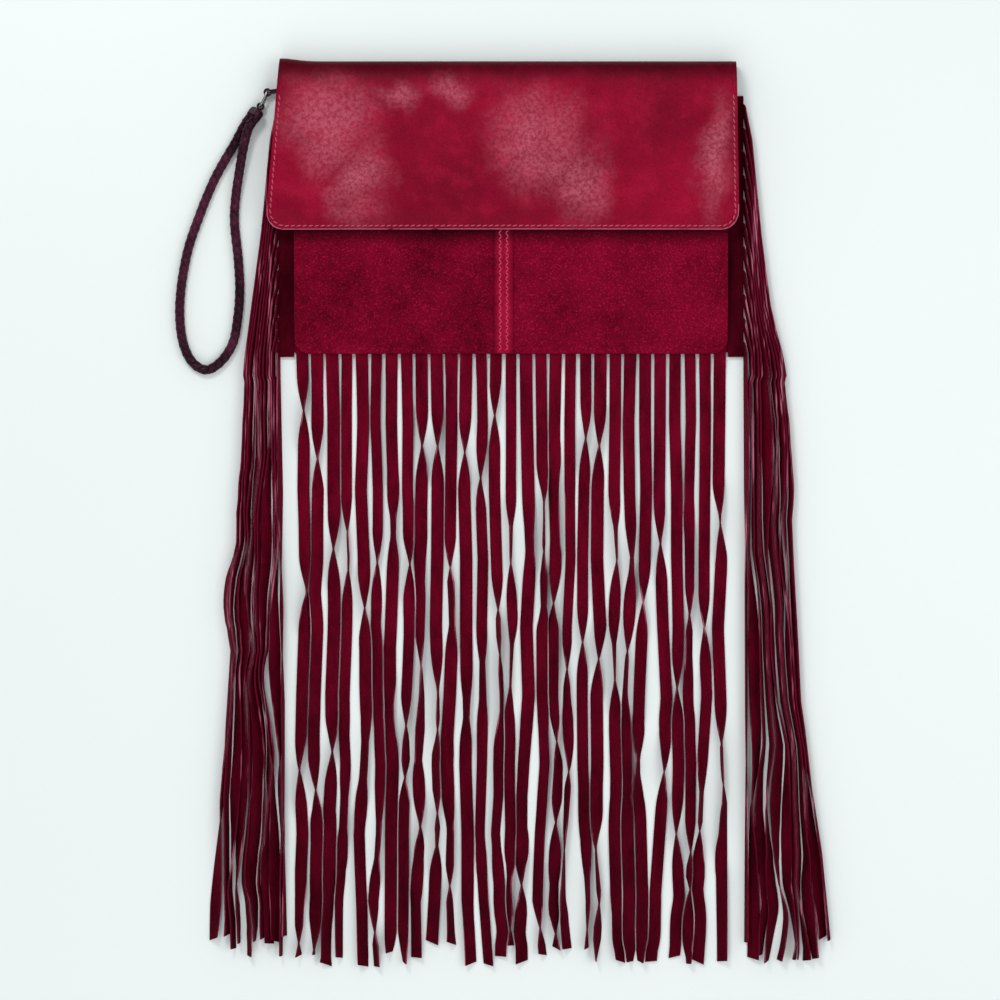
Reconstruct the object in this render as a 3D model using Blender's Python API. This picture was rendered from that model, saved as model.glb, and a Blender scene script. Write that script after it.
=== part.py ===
"""A suede clutch bag with a smooth leather flap, long cut fringes and a braided wrist cord.

The bag lies on its back. +X is to its right, +Y towards the fold of the flap, +Z out of its front.
The origin is the middle of the flat outer face of the back panel.
"""

import math
import random

import bmesh
import bpy
from mathutils import Vector

# Sheet materials
SUEDE = 0.0014
LEATHER = 0.0016
LINING = 0.0006
STRIP_THICKNESS = 0.0010
CLEARANCE = 0.0003

# Pouch
BACK_HALF_WIDTH = 0.1395
FRONT_HALF_WIDTH = 0.134
LINING_HALF_WIDTH = 0.122
BOTTOM_Y = -0.0924
MOUTH_Y = 0.060
FOLD_Y = 0.0865
MOUTH_HEIGHT = 0.0118
PANEL_CROWN = 0.0022
PANEL_RISE_SHARE = 0.75
PANEL_RISE_POWER = 0.8
CROWN_SHARE = 0.8
PANEL_COLUMNS = 5
LINING_COLUMNS = 6
BOTTOM_CURVE = 0.030
CORNER_RADIUS = 0.009
SEAM_X = -0.0046
SEAM_STRIP_WIDTH = 0.0124
SEAM_STRIP_THICKNESS = 0.0009
LINING_MARGIN = 0.012
GUSSET_HALF_WIDTH = 0.1300
GUSSET_THICKNESS = 0.0012
GUSSET_FOLD_SHARE = 0.55

# Flap and the fold that carries it
FLAP_HALF_WIDTH_TOP = 0.1410
FLAP_HALF_WIDTH_BOTTOM = 0.1460
FLAP_SHIFT = -0.0035
FLAP_END_Y = -0.0162
FLAP_CORNER_RADIUS = 0.011
FLAP_LINING_MARGIN = 0.006
FLAP_GAP = 0.0054
FLAP_EDGE_GAP = 0.0018
FLAP_EDGE_LENGTH = 0.016
FOLD_TOP_HEIGHT = 0.0160
FOLD_ROUNDING = 0.020
FOLD_BULGE = 0.0020
FOLD_STEPS = 8
FLAP_COLUMNS = 6

# Magnetic snap
SNAP_Y = 0.006
SNAP_RADIUS = 0.0070
SNAP_THICKNESS = 0.0008
SNAP_BOSS_RADIUS = 0.0035
SNAP_BOSS_HEIGHT = 0.0002
SNAP_BOSS_TAPER = 0.9
SNAP_SIDES = 24
SNAP_SLOPE_ALLOWANCE = 0.0002

# Front fringe
FRONT_STRIPS = 29
FRONT_STRIP_WIDTH = (0.0066, 0.0080)
FRONT_HEADER_DEPTH = 0.009
FRONT_TIP_Y = -0.4650
FRONT_TIP_SPREAD = 0.0080
FRONT_ROWS = 22
FRONT_DROP_LENGTH = 0.020
FRONT_DRIFT = 0.0030
FRONT_DRIFT_STEPS = 9
FRONT_DRIFT_MEMORY = 0.8
FRONT_DRIFT_AT_SEAM = 0.3
FRONT_FIRST_TURN = math.radians(30)
FRONT_FIRST_TURN_LENGTH = 0.016
FRONT_WAVER = math.radians(14)
FRONT_FLAT_HOLD = (0.030, 0.110)
FRONT_EDGE_HOLD = (0.008, 0.030)
FRONT_QUARTER_TURNS = (0.4, 0.6, 1.0, 1.0, 2.0)
FRONT_LEAST_QUARTER = 0.8
STRIP_CLEARANCE = 0.0006
TIP_SLANT = 0.45
TIP_ROOM = 0.004
HALF_TURN_LENGTH = 0.052

# How far below the seam some strips of the front stand on edge, by their number from the left
FRONT_ON_EDGE = {
    1: (0.039,),
    2: (0.058, 0.277),
    3: (0.125,),
    5: (0.151,),
    6: (0.137,),
    8: (0.138,),
    9: (0.055,),
    10: (0.058,),
    12: (0.060,),
    13: (0.070,),
    14: (0.033,),
    20: (0.056,),
    21: (0.056, 0.190),
    24: (0.150,),
    26: (0.210,),
    28: (0.176,),
}

# Side fringes
SIDE_STRIPS = 11
SIDE_STRIP_WIDTH = 0.0076
SIDE_STRIP_GAP = 0.0004
SIDE_STRIP_PITCH = 0.0147
SIDE_TOP_Y = 0.060
SIDE_HEADER_DEPTH = 0.0055
SIDE_TURN_RADIUS = 0.0052
SIDE_LANE_STEP = 0.0016
SIDE_TIP_Y = -0.4600
SIDE_TIP_SPREAD = 0.0090
SIDE_TILT_AT_SEAM = math.radians(80)
SIDE_TURN_SECTIONS = 4
SIDE_LOWER_ROWS = 17
SIDE_TILTED_BY = 0.8
SIDE_FIRST_CHANGE = (0.6, 1.0)
SIDE_TURN_SPACING = (0.042, 0.084)
SIDE_TURN_RATE = math.radians(1100)
SIDE_BROAD_CHANCE = (0.05, 0.40)
SIDE_BROAD_LEAN = (20, 38)
SIDE_EDGE_LEAN = (70, 86)
SIDE_BACKWARD_CHANCE = 0.4
SIDE_GAP_LENGTH = 0.075
SIDE_ROW_REACH = 0.008

# How far out of the side seam each bundle reaches: (distance below its top, width)
SIDE_OUTLINE = {
    "left": (
        (0.0, 0.004),
        (0.146, 0.0235),
        (0.252, 0.0275),
        (0.314, 0.0315),
        (0.403, 0.038),
        (0.520, 0.045),
    ),
    "right": (
        (0.0, 0.004),
        (0.146, 0.0235),
        (0.227, 0.0315),
        (0.363, 0.0380),
        (0.456, 0.052),
        (0.520, 0.058),
    ),
}
SIDE_INNER_TIP = {"left": 0.0005, "right": 0.0060}

# Wrist cord, link and their leather holders
TAB_WIDTH = 0.0044
TAB_THICKNESS = 0.0011
TAB_BASE = (-0.1352, 0.0716)
TAB_EYE = (-0.1507, 0.0694)
EYE_RADIUS = 0.0013
LINK_WIRE = 0.0015
LINK_LENGTH = 0.0098
LINK_HEIGHT = 0.0086
LINK_CORNER = 0.0012
LINK_HEADING = math.radians(-116)
LINK_FLOOR_GAP = 0.0002
CORD_DIAMETER = 0.0062
CORD_POINT_SPACING = 0.0130
STRAP_END_LENGTH = 0.0048
STRAP_END_WALL = 0.0010
STRAP_END_LOOP_SHARE = 0.6
STRAP_END_SPREAD = 0.98
STRAP_END_SQUEEZE = 0.82
STRAP_END_PROFILE = ((0.0, 1.0), (0.55, 1.0), (0.85, 0.86), (1.0, 0.6))
STRAP_END_SIDES = 16
LOOP_STEPS = 14
LINK_CORNER_STEPS = 4
LINK_SIDES = 10
ROUTE_STEPS = 12

# The route of the wrist cord, from one end in its leather holder round to the other.
CORD_ROUTE = (
    (-0.1605, 0.0557, 0.0032),
    (-0.1653, 0.0486, 0.0032),
    (-0.1712, 0.0375, 0.0032),
    (-0.1780, 0.0260, 0.0032),
    (-0.1848, 0.0130, 0.0032),
    (-0.1925, -0.0059, 0.0032),
    (-0.2005, -0.0300, 0.0032),
    (-0.2049, -0.0583, 0.0032),
    (-0.2040, -0.0812, 0.0032),
    (-0.1984, -0.0961, 0.0032),
    (-0.1891, -0.1023, 0.0032),
    (-0.1798, -0.0973, 0.0032),
    (-0.1722, -0.0856, 0.0032),
    (-0.1690, -0.0682, 0.0032),
    (-0.1680, -0.0515, 0.0032),
    (-0.1690, -0.0330, 0.0032),
    (-0.1712, -0.0118, 0.0032),
    (-0.1706, 0.0031, 0.0036),
    (-0.1681, 0.0200, 0.0056),
    (-0.1655, 0.0345, 0.0080),
    (-0.1623, 0.0466, 0.0087),
    (-0.1575, 0.0537, 0.0087),
)

COLOURS = {
    "suede": (0.125, 0.004, 0.016),
    "leather": (0.190, 0.006, 0.022),
    "lining": (0.060, 0.008, 0.014),
    "braid": (0.028, 0.004, 0.010),
    "nickel": (0.620, 0.600, 0.570),
}


def smooth(value):
    """Smooth step from 0 to 1, held level outside."""
    value = min(1.0, max(0.0, value))
    return value * value * (3 - 2 * value)


def mix(low, high, share):
    return low + (high - low) * share


def material(name, roughness, metallic=0.0):
    made = bpy.data.materials.new(name)
    made.use_nodes = True
    shader = made.node_tree.nodes["Principled BSDF"]
    shader.inputs["Base Color"].default_value = (*COLOURS[name], 1)
    shader.inputs["Roughness"].default_value = roughness
    shader.inputs["Metallic"].default_value = metallic
    return made


def finished(name, mesh, finish):
    """Puts a bmesh into the scene as one closed object with its faces pointing out."""
    bmesh.ops.recalc_face_normals(mesh, faces=mesh.faces)
    data = bpy.data.meshes.new(name)
    mesh.to_mesh(data)
    mesh.free()
    data.materials.append(finish)
    data.shade_smooth()
    data.set_sharp_from_angle(angle=math.radians(40))
    placed = bpy.data.objects.new(name, data)
    bpy.context.scene.collection.objects.link(placed)
    return placed


def tube(name, sections, finish, closed=False):
    """A solid through a row of cross-sections with as many points each."""
    mesh = bmesh.new()
    rings = [[mesh.verts.new(point) for point in section] for section in sections]
    pairs = list(zip(rings, rings[1:]))
    if closed:
        pairs.append((rings[-1], rings[0]))
    for first, second in pairs:
        for index in range(len(first)):
            after = (index + 1) % len(first)
            mesh.faces.new((first[index], first[after], second[after], second[index]))
    if not closed:
        mesh.faces.new(rings[0])
        mesh.faces.new(rings[-1])
    return finished(name, mesh, finish)


def layer(name, rows, low, high, columns, finish):
    """A sheet between two height functions. Each row is (y, left x, right x)."""
    sections = []
    for y, left, right in rows:
        across = [mix(left, right, column / columns) for column in range(columns + 1)]
        under = [Vector((x, y, low(x, y))) for x in across]
        over = [Vector((x, y, high(x, y))) for x in reversed(across)]
        sections.append(under + over)
    return tube(name, sections, finish)


def level_rows():
    """The rows that every stacked sheet shares, close together where the sheets curve."""
    stretches = (
        (BOTTOM_Y, BOTTOM_Y + BOTTOM_CURVE, 5),
        (BOTTOM_Y + BOTTOM_CURVE, FLAP_END_Y, 4),
        (FLAP_END_Y, FLAP_END_Y + FLAP_EDGE_LENGTH, 4),
        (FLAP_END_Y + FLAP_EDGE_LENGTH, FOLD_Y - FOLD_ROUNDING, 6),
        (FOLD_Y - FOLD_ROUNDING, FOLD_Y, 5),
    )
    rows = [mix(start, end, step / count) for start, end, count in stretches for step in range(count)]
    return rows + [FOLD_Y]


def along_rows(height):
    """The height function, straight between the shared rows so that stacked sheets keep their gaps."""
    rows = level_rows()

    def level(x, y):
        y = min(rows[-1], max(rows[0], y))
        for start, end in zip(rows, rows[1:]):
            if y <= end:
                return mix(height(x, start), height(x, end), (y - start) / (end - start))
        return height(x, rows[-1])

    return level


def rounded_rows(start_y, end_y, half_width, centre, start_radius, end_radius):
    """Rows from start_y to end_y, drawn in along an arc where an end has rounded corners."""
    length = abs(end_y - start_y)
    way = 1 if end_y > start_y else -1
    places = {0.0, length}
    for radius, origin, inward in ((start_radius, 0.0, 1), (end_radius, length, -1)):
        places |= {origin + inward * radius * (1 - math.cos(math.radians(turn))) for turn in (30, 60, 90)}
    shared = [(y - start_y) * way for y in level_rows()]
    places |= {place for place in shared if CLEARANCE < place < length - CLEARANCE}
    rows = []
    for place in sorted(places):
        y = start_y + way * place
        inset = 0.0
        for radius, distance in ((start_radius, place), (end_radius, length - place)):
            if distance < radius:
                inset = radius - math.sqrt(max(0.0, radius**2 - (radius - distance) ** 2))
        rows.append((y, centre(y) - half_width(y) + inset, centre(y) + half_width(y) - inset))
    return rows


def front_low(x, y):
    """Height of the inner face of the front: low at the bottom seam, full towards the mouth."""
    seam_height = SUEDE + STRIP_THICKNESS + 2 * CLEARANCE
    share = min(1.0, max(0.0, (y - BOTTOM_Y) / (MOUTH_Y - BOTTOM_Y)))
    rise = math.sin(min(1.0, share / PANEL_RISE_SHARE) * math.pi / 2) ** PANEL_RISE_POWER if share else 0.0
    crown = PANEL_CROWN * (1 - (x / FRONT_HALF_WIDTH) ** 2) * math.sin(math.pi * share * CROWN_SHARE)
    return mix(seam_height, MOUTH_HEIGHT, rise) + max(0.0, crown)


front_low = along_rows(front_low)


def raised(height, rise):
    """The height function moved up by a distance."""

    def level(x, y):
        return height(x, y) + rise

    return level


def flat(height):
    """The same height everywhere."""

    def level(x, y):
        return height

    return level


front_high = raised(front_low, SUEDE)


def flap_low(x, y):
    """Height of the flap's inner face, which lies on the front and rounds down to the fold."""
    lie = smooth((y - FLAP_END_Y) / FLAP_EDGE_LENGTH)
    resting = front_high(x, y) + mix(FLAP_EDGE_GAP, FLAP_GAP, lie)
    down = smooth((y - (FOLD_Y - FOLD_ROUNDING)) / FOLD_ROUNDING)
    return mix(resting, FOLD_TOP_HEIGHT, down)


flap_low = along_rows(flap_low)


flap_high = raised(flap_low, LEATHER)


def flap_centre(y):
    return FLAP_SHIFT * (FOLD_Y - y) / (FOLD_Y - FLAP_END_Y)


def flap_half_width(y):
    return mix(FLAP_HALF_WIDTH_TOP, FLAP_HALF_WIDTH_BOTTOM, (FOLD_Y - y) / (FOLD_Y - FLAP_END_Y))


def constant(value):
    """A width or centre that is the same in every row."""

    def at(y):
        return value

    return at


def make_back(suede, lining):
    half_width = constant(BACK_HALF_WIDTH)
    rows = rounded_rows(BOTTOM_Y, FOLD_Y - CLEARANCE, half_width, constant(0.0), CORNER_RADIUS, CLEARANCE)
    layer("back_panel", rows, flat(0.0), flat(SUEDE), 1, suede)
    bottom = BOTTOM_Y + LINING_MARGIN
    top = FOLD_Y - LINING_MARGIN
    rows = [(y, -LINING_HALF_WIDTH, LINING_HALF_WIDTH) for y in (bottom, top)]
    floor = SUEDE + CLEARANCE
    layer("back_lining", rows, flat(floor), flat(floor + LINING), 1, lining)


def make_front(suede, lining):
    half_gap = CLEARANCE / 2
    half_width = constant(FRONT_HALF_WIDTH)
    both = rounded_rows(BOTTOM_Y, MOUTH_Y, half_width, constant(0.0), CORNER_RADIUS, CLEARANCE)
    left = [(y, low, SEAM_X - half_gap) for y, low, high in both]
    right = [(y, SEAM_X + half_gap, high) for y, low, high in both]
    layer("front_panel_left", left, front_low, front_high, PANEL_COLUMNS, suede)
    layer("front_panel_right", right, front_low, front_high, PANEL_COLUMNS, suede)
    half_strip = SEAM_STRIP_WIDTH / 2
    strip = [(y, SEAM_X - half_strip, SEAM_X + half_strip) for y, low, high in both]
    strip_low = raised(front_high, CLEARANCE)
    layer("seam_strip", strip, strip_low, raised(strip_low, SEAM_STRIP_THICKNESS), 2, suede)
    start = BOTTOM_Y + LINING_MARGIN
    inside = [(y, -LINING_HALF_WIDTH, LINING_HALF_WIDTH) for y, low, high in both if y > start]
    cloth_high = raised(front_low, -CLEARANCE)
    layer("front_lining", inside, raised(cloth_high, -LINING), cloth_high, LINING_COLUMNS, lining)


def make_gusset(side, way, suede):
    """A side wall folded inwards, so that the pouch can open: high at the mouth, low at the bottom."""
    start = BOTTOM_Y + CORNER_RADIUS
    sections = []
    for y in [start] + [row for row in level_rows() if start + CLEARANCE < row < MOUTH_Y] + [MOUTH_Y]:
        low = SUEDE + CLEARANCE
        high = front_low(GUSSET_HALF_WIDTH, y) - CLEARANCE
        high = min(high, front_low(GUSSET_HALF_WIDTH + GUSSET_THICKNESS, y) - CLEARANCE)
        fold = GUSSET_HALF_WIDTH - GUSSET_FOLD_SHARE * (high - low)
        outline = [
            (GUSSET_HALF_WIDTH, low),
            (fold, (low + high) / 2),
            (GUSSET_HALF_WIDTH, high),
            (GUSSET_HALF_WIDTH + GUSSET_THICKNESS, high),
            (fold + GUSSET_THICKNESS, (low + high) / 2),
            (GUSSET_HALF_WIDTH + GUSSET_THICKNESS, low),
        ]
        sections.append([Vector((way * x, y, z)) for x, z in outline])
    return tube(f"{side}_gusset", sections, suede)


def make_flap(leather, lining):
    top = FOLD_Y - 0.5 * LEATHER
    rows = rounded_rows(top, FLAP_END_Y, flap_half_width, flap_centre, CLEARANCE, FLAP_CORNER_RADIUS)
    layer("flap", rows, flap_low, flap_high, FLAP_COLUMNS, leather)
    margin = FLAP_LINING_MARGIN

    def lining_half_width(y):
        return flap_half_width(y) - margin

    start, end = top - margin, FLAP_END_Y + margin
    rows = rounded_rows(start, end, lining_half_width, flap_centre, CLEARANCE, FLAP_CORNER_RADIUS)
    cloth_high = raised(flap_low, -CLEARANCE)
    layer("flap_lining", rows, raised(cloth_high, -LINING), cloth_high, FLAP_COLUMNS, lining)


def make_fold(leather):
    """The leather that runs round the top edge, from the back panel up to the flap."""
    start = LEATHER + CLEARANCE
    end = FOLD_TOP_HEIGHT - CLEARANCE
    inner = []
    outer = []
    for step in range(FOLD_STEPS + 1):
        share = step / FOLD_STEPS
        bulge = FOLD_BULGE * math.sin(math.pi * share)
        slope = FOLD_BULGE * math.pi * math.cos(math.pi * share) / (end - start)
        height = mix(start, end, share)
        inner.append((FOLD_Y + CLEARANCE / 2 + bulge, height))
        lean = LEATHER / math.sqrt(1 + slope * slope)
        outer.append((inner[-1][0] + lean, height - (slope * lean if 0 < step < FOLD_STEPS else 0.0)))
    outline = inner + outer[::-1]
    half = FLAP_HALF_WIDTH_TOP
    sections = [[Vector((x, y, z)) for y, z in outline] for x in (-half, 0.0, half)]
    tube("fold", sections, leather)


def make_snap(name, low, boss_way, finish):
    """A thin disc with a small boss that faces its partner."""
    high = low + SNAP_THICKNESS
    face = high if boss_way > 0 else low
    base = low if boss_way > 0 else high
    profile = [
        (SNAP_RADIUS, base),
        (SNAP_RADIUS, face),
        (SNAP_BOSS_RADIUS, face),
        (SNAP_BOSS_RADIUS * SNAP_BOSS_TAPER, face + boss_way * SNAP_BOSS_HEIGHT),
    ]
    sections = []
    for radius, height in profile:
        turns = [2 * math.pi * index / SNAP_SIDES for index in range(SNAP_SIDES)]
        sections.append(
            [Vector((SEAM_X + radius * math.cos(t), SNAP_Y + radius * math.sin(t), height)) for t in turns]
        )
    tube(name, sections, finish)


def close_sides(mesh, first, second):
    """The four sides between two cross-sections, both broad ones split along the same diagonal."""
    for near, far in ((0, 1), (3, 2)):
        mesh.faces.new((first[near], first[far], second[far]))
        mesh.faces.new((first[near], second[far], second[near]))
    for low, high in ((0, 3), (1, 2)):
        mesh.faces.new((first[low], first[high], second[high], second[low]))


def comb(name, header, strips, finish):
    """One sheet cut into strips: a header left whole, and each strip's cross-sections.

    A cross-section is (low first edge, low second edge, high second edge, high first edge).
    """
    mesh = bmesh.new()
    backs = [[mesh.verts.new(point) for point in section] for section in header]
    rows = [[[mesh.verts.new(point) for point in section] for section in strip] for strip in strips]
    for back, strip in zip(backs, rows):
        root = strip[0]
        mesh.faces.new((back[0], back[1], root[1], root[0]))
        mesh.faces.new((back[3], back[2], root[2], root[3]))
        mesh.faces.new(back)
        for first, second in zip(strip, strip[1:]):
            close_sides(mesh, first, second)
        mesh.faces.new(strip[-1])
    for index in range(len(rows) - 1):
        back, next_back = backs[index], backs[index + 1]
        root, next_root = rows[index][0], rows[index + 1][0]
        mesh.faces.new((back[1], next_back[0], next_root[0], root[1]))
        mesh.faces.new((back[2], next_back[3], next_root[3], root[2]))
        mesh.faces.new((back[1], next_back[0], next_back[3], back[2]))
        mesh.faces.new((root[1], next_root[0], next_root[3], root[2]))
    mesh.faces.new((backs[0][0], backs[0][3], rows[0][0][3], rows[0][0][0]))
    mesh.faces.new((backs[-1][1], backs[-1][2], rows[-1][0][2], rows[-1][0][1]))
    return finished(name, mesh, finish)


def strip_section(centre, heading, tilt, width):
    """A strip's cross-section. heading is its way in plan, tilt turns its width up from level."""
    level = Vector((math.sin(heading), -math.cos(heading), 0.0))
    across = level * math.cos(tilt) + Vector((0, 0, math.sin(tilt)))
    through = Vector((0, 0, math.cos(tilt))) - level * math.sin(tilt)
    half_width = across * (width / 2)
    half_thickness = through * (STRIP_THICKNESS / 2)
    return (
        centre - half_width - half_thickness,
        centre + half_width - half_thickness,
        centre + half_width + half_thickness,
        centre - half_width + half_thickness,
    )


def cut_short(sections, tip_y, slant):
    """Ends a strip at its own tip, which lies between two of its level sections, with a slanting cut."""
    kept = [section for section in sections if section[0].y > tip_y + TIP_ROOM]
    before, after = kept[-1], sections[len(kept)]
    share = (before[0].y - tip_y) / (before[0].y - after[0].y)
    tip = [low.lerp(high, share) for low, high in zip(before, after)]
    middle_x = sum(point.x for point in tip) / len(tip)
    return kept + [[point + Vector((0, slant * (point.x - middle_x), 0)) for point in tip]]


def lying_height(tilt, width):
    """Height of a strip's middle when its lower edge just clears the floor."""
    reach = width / 2 * abs(math.sin(tilt)) + STRIP_THICKNESS / 2 * abs(math.cos(tilt))
    return reach + CLEARANCE / 2


def reach_along(direction, tilt, width):
    """Half of a strip's extent along a direction. Both are angles in its cross-section's plane."""
    turn = direction - tilt
    return width / 2 * abs(math.cos(turn)) + STRIP_THICKNESS / 2 * abs(math.sin(turn))


def nested_room(inner_tilt, outer_tilt, width):
    """How far apart the middles of two strips on the floor must be, when one may lean over the other."""
    rise = lying_height(outer_tilt, width) - lying_height(inner_tilt, width)
    rooms = []
    for direction in (inner_tilt, inner_tilt - math.pi / 2, outer_tilt, outer_tilt - math.pi / 2):
        reach = reach_along(direction, inner_tilt, width) + reach_along(direction, outer_tilt, width)
        side = 1 if math.cos(direction) > 0 else -1
        if abs(math.cos(direction)) > 0.1:
            room = reach + SIDE_STRIP_GAP - side * math.sin(direction) * rise
            rooms.append(room / abs(math.cos(direction)))
    return min(rooms)


def keyed(keys, place):
    """The value at a place between (place, value) keys."""
    for (start, low), (end, high) in zip(keys, keys[1:]):
        if place <= end:
            return mix(low, high, max(0.0, place - start) / (end - start))
    return keys[-1][1]


def front_turns(chance, on_edge, length):
    """How one strip turns about its length: (distance below the seam, angle) keys."""
    angle = chance.uniform(-FRONT_FIRST_TURN, FRONT_FIRST_TURN)
    keys = [(0.0, 0.0), (FRONT_FIRST_TURN_LENGTH, angle)]
    for place in on_edge:
        keys.append((place - HALF_TURN_LENGTH / 2, angle))
        angle += chance.choice((-1, 1)) * math.pi
        keys.append((place + HALF_TURN_LENGTH / 2, angle))
    while keys[-1][0] < length:
        is_flat = abs(math.cos(angle)) > abs(math.sin(angle))
        hold = chance.uniform(*(FRONT_FLAT_HOLD if is_flat else FRONT_EDGE_HOLD))
        keys.append((keys[-1][0] + hold, angle + chance.uniform(-FRONT_WAVER, FRONT_WAVER)))
        quarters = chance.choice(FRONT_QUARTER_TURNS)
        angle += quarters * chance.choice((-1, 1)) * math.pi / 2
        keys.append((keys[-1][0] + HALF_TURN_LENGTH / 2 * max(FRONT_LEAST_QUARTER, quarters), angle))
    return keys


def front_drift(chance, length):
    """How one strip wanders sideways: (distance below the seam, offset) keys."""
    keys = [(0.0, 0.0)]
    offset = 0.0
    for step in range(1, FRONT_DRIFT_STEPS + 1):
        share = step / FRONT_DRIFT_STEPS
        step_size = FRONT_DRIFT * (FRONT_DRIFT_AT_SEAM + share)
        offset = FRONT_DRIFT_MEMORY * offset + chance.uniform(-1, 1) * step_size
        keys.append((share * length, offset))
    return keys


def spread_apart(places, reaches, low_limit, high_limit):
    """Moves strips along one row just far enough that no two of them meet."""
    places = list(places)
    for sweep in range(60):
        for index in range(len(places) - 1):
            room = reaches[index] + reaches[index + 1] + STRIP_CLEARANCE
            short = room - (places[index + 1] - places[index])
            if short > 0:
                places[index] -= short / 2
                places[index + 1] += short / 2
        places[0] = max(places[0], low_limit + reaches[0])
        places[-1] = min(places[-1], high_limit - reaches[-1])
    for index in range(1, len(places)):
        room = reaches[index - 1] + reaches[index] + STRIP_CLEARANCE
        places[index] = max(places[index], places[index - 1] + room)
    return places


def front_layout(rows):
    """The front fringe: the roots, and every strip's (centre, angle, width) at each row with its tip."""
    chance = random.Random(7)
    pitch = 2 * FRONT_HALF_WIDTH / FRONT_STRIPS
    roots = [-FRONT_HALF_WIDTH + (index + 0.5) * pitch for index in range(FRONT_STRIPS)]
    length = BOTTOM_Y - FRONT_TIP_Y + FRONT_TIP_SPREAD + STRIP_CLEARANCE
    turns = [front_turns(chance, FRONT_ON_EDGE.get(index + 1, ()), length) for index in range(FRONT_STRIPS)]
    drifts = [front_drift(chance, length) for root in roots]
    widths = [chance.uniform(*FRONT_STRIP_WIDTH) for root in roots]
    tips = [FRONT_TIP_Y + chance.uniform(-1, 1) * FRONT_TIP_SPREAD for root in roots]
    slants = [chance.uniform(-1, 1) * TIP_SLANT for root in roots]
    header_height = SUEDE + CLEARANCE + STRIP_THICKNESS / 2
    strips = [[] for root in roots]
    for row in range(rows + 1):
        below = row / rows * length
        tilts = [keyed(turn, below) for turn in turns]
        reaches = [reach_along(0.0, tilt, width) for tilt, width in zip(tilts, widths)]
        wanted = [root + keyed(drift, below) for root, drift in zip(roots, drifts)]
        places = spread_apart(wanted, reaches, -FRONT_HALF_WIDTH, FRONT_HALF_WIDTH) if row else roots
        settled = smooth(below / FRONT_DROP_LENGTH)
        for strip, place, tilt, width in zip(strips, places, tilts, widths):
            z = mix(header_height, lying_height(tilt, width), settled)
            strip.append((Vector((place, BOTTOM_Y - below, z)), tilt, width))
    return roots, strips, tips, slants, header_height


def make_front_fringe(suede):
    roots, strips, tips, slants, header_height = front_layout(FRONT_ROWS)
    down = -math.pi / 2
    cut = []
    for strip, tip_y, slant in zip(strips, tips, slants):
        sections = [strip_section(centre, down, tilt, width) for centre, tilt, width in strip]
        cut.append(cut_short(sections, tip_y, slant))
    header = [
        strip_section(Vector((root, BOTTOM_Y + FRONT_HEADER_DEPTH, header_height)), down, 0.0, strip[0][2])
        for root, strip in zip(roots, strips)
    ]
    # A heading of straight down puts each first edge on the right, so the strips run right to left.
    comb("front_fringe", header[::-1], cut[::-1], suede)


def side_turns(chance, start_below):
    """How one side strip leans: (distance below the top, angle) keys, broad side up more often lower down."""
    beside = (SIDE_STRIPS - 1) * SIDE_STRIP_PITCH
    keys = [(start_below, SIDE_TILT_AT_SEAM)]
    below = SIDE_TOP_Y - SIDE_TIP_Y - beside
    place = max(start_below + SIDE_STRIP_PITCH, beside * chance.uniform(*SIDE_FIRST_CHANGE))
    keys.append((place, SIDE_TILT_AT_SEAM))
    while place < beside + below:
        is_broad = chance.random() < mix(*SIDE_BROAD_CHANCE, (place - beside) / below)
        lean = chance.uniform(*(SIDE_BROAD_LEAN if is_broad else SIDE_EDGE_LEAN))
        lean = math.radians(180 - lean if chance.random() < SIDE_BACKWARD_CHANCE else lean)
        place += max(abs(lean - keys[-1][1]) / SIDE_TURN_RATE, chance.uniform(*SIDE_TURN_SPACING))
        keys.append((place, lean))
    return keys


def side_places(side, below, turns, gaps):
    """Where the strips lie out of the seam at one row, the innermost first, with the spare room shared."""
    lower = smooth(below / (SIDE_TOP_Y - SIDE_TIP_Y))
    inner = mix(SIDE_TURN_RADIUS, SIDE_INNER_TIP[side], lower)
    rooms = []
    for low, high in zip(turns, turns[1:]):
        nearby = [below + share * SIDE_ROW_REACH for share in (-1, -0.5, 0, 0.5, 1)]
        rooms.append(max(nested_room(keyed(low, at), keyed(high, at), SIDE_STRIP_WIDTH) for at in nearby))
    if rooms and below < SIDE_STRIPS * SIDE_STRIP_PITCH:
        rooms[0] += SIDE_LANE_STEP
    spare = keyed(SIDE_OUTLINE[side], below) - inner - sum(rooms)
    if spare > 0 and rooms:
        weights = [(0.55 + 0.45 * math.sin(below / SIDE_GAP_LENGTH + gap)) ** 4 for gap in gaps[: len(rooms)]]
        rooms = [room + spare * weight / sum(weights) for room, weight in zip(rooms, weights)]
    places = [inner]
    for room in rooms:
        places.append(places[-1] + room)
    return places


def side_layout(side, rows):
    """Each side strip's (distance out, y, angle) at the level rows, and its tip. The first is the highest."""
    chance = random.Random(11 if side == "left" else 12)
    starts = [index * SIDE_STRIP_PITCH for index in range(SIDE_STRIPS)]
    turns = [side_turns(chance, start) for start in starts]
    tips = [SIDE_TIP_Y + chance.uniform(-1, 1) * SIDE_TIP_SPREAD for start in starts]
    slants = [chance.uniform(-1, 1) * TIP_SLANT for start in starts]
    gaps = [chance.uniform(0, 2 * math.pi) for start in starts]
    top_y = SIDE_TOP_Y - SIDE_TURN_RADIUS
    full = top_y - SIDE_TIP_Y + SIDE_TIP_SPREAD + STRIP_CLEARANCE
    levels = starts + [mix(starts[-1], full, row / rows) for row in range(1, rows + 1)]
    strips = [[] for start in starts]
    for below in levels:
        active = [index for index in range(SIDE_STRIPS) if starts[index] <= below + STRIP_CLEARANCE]
        inside_out = active[::-1]
        places = side_places(side, below, [turns[index] for index in inside_out], gaps)
        for index, place in zip(inside_out, places):
            strips[index].append((place, top_y - below, keyed(turns[index], below)))
    return strips, tips, slants


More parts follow.
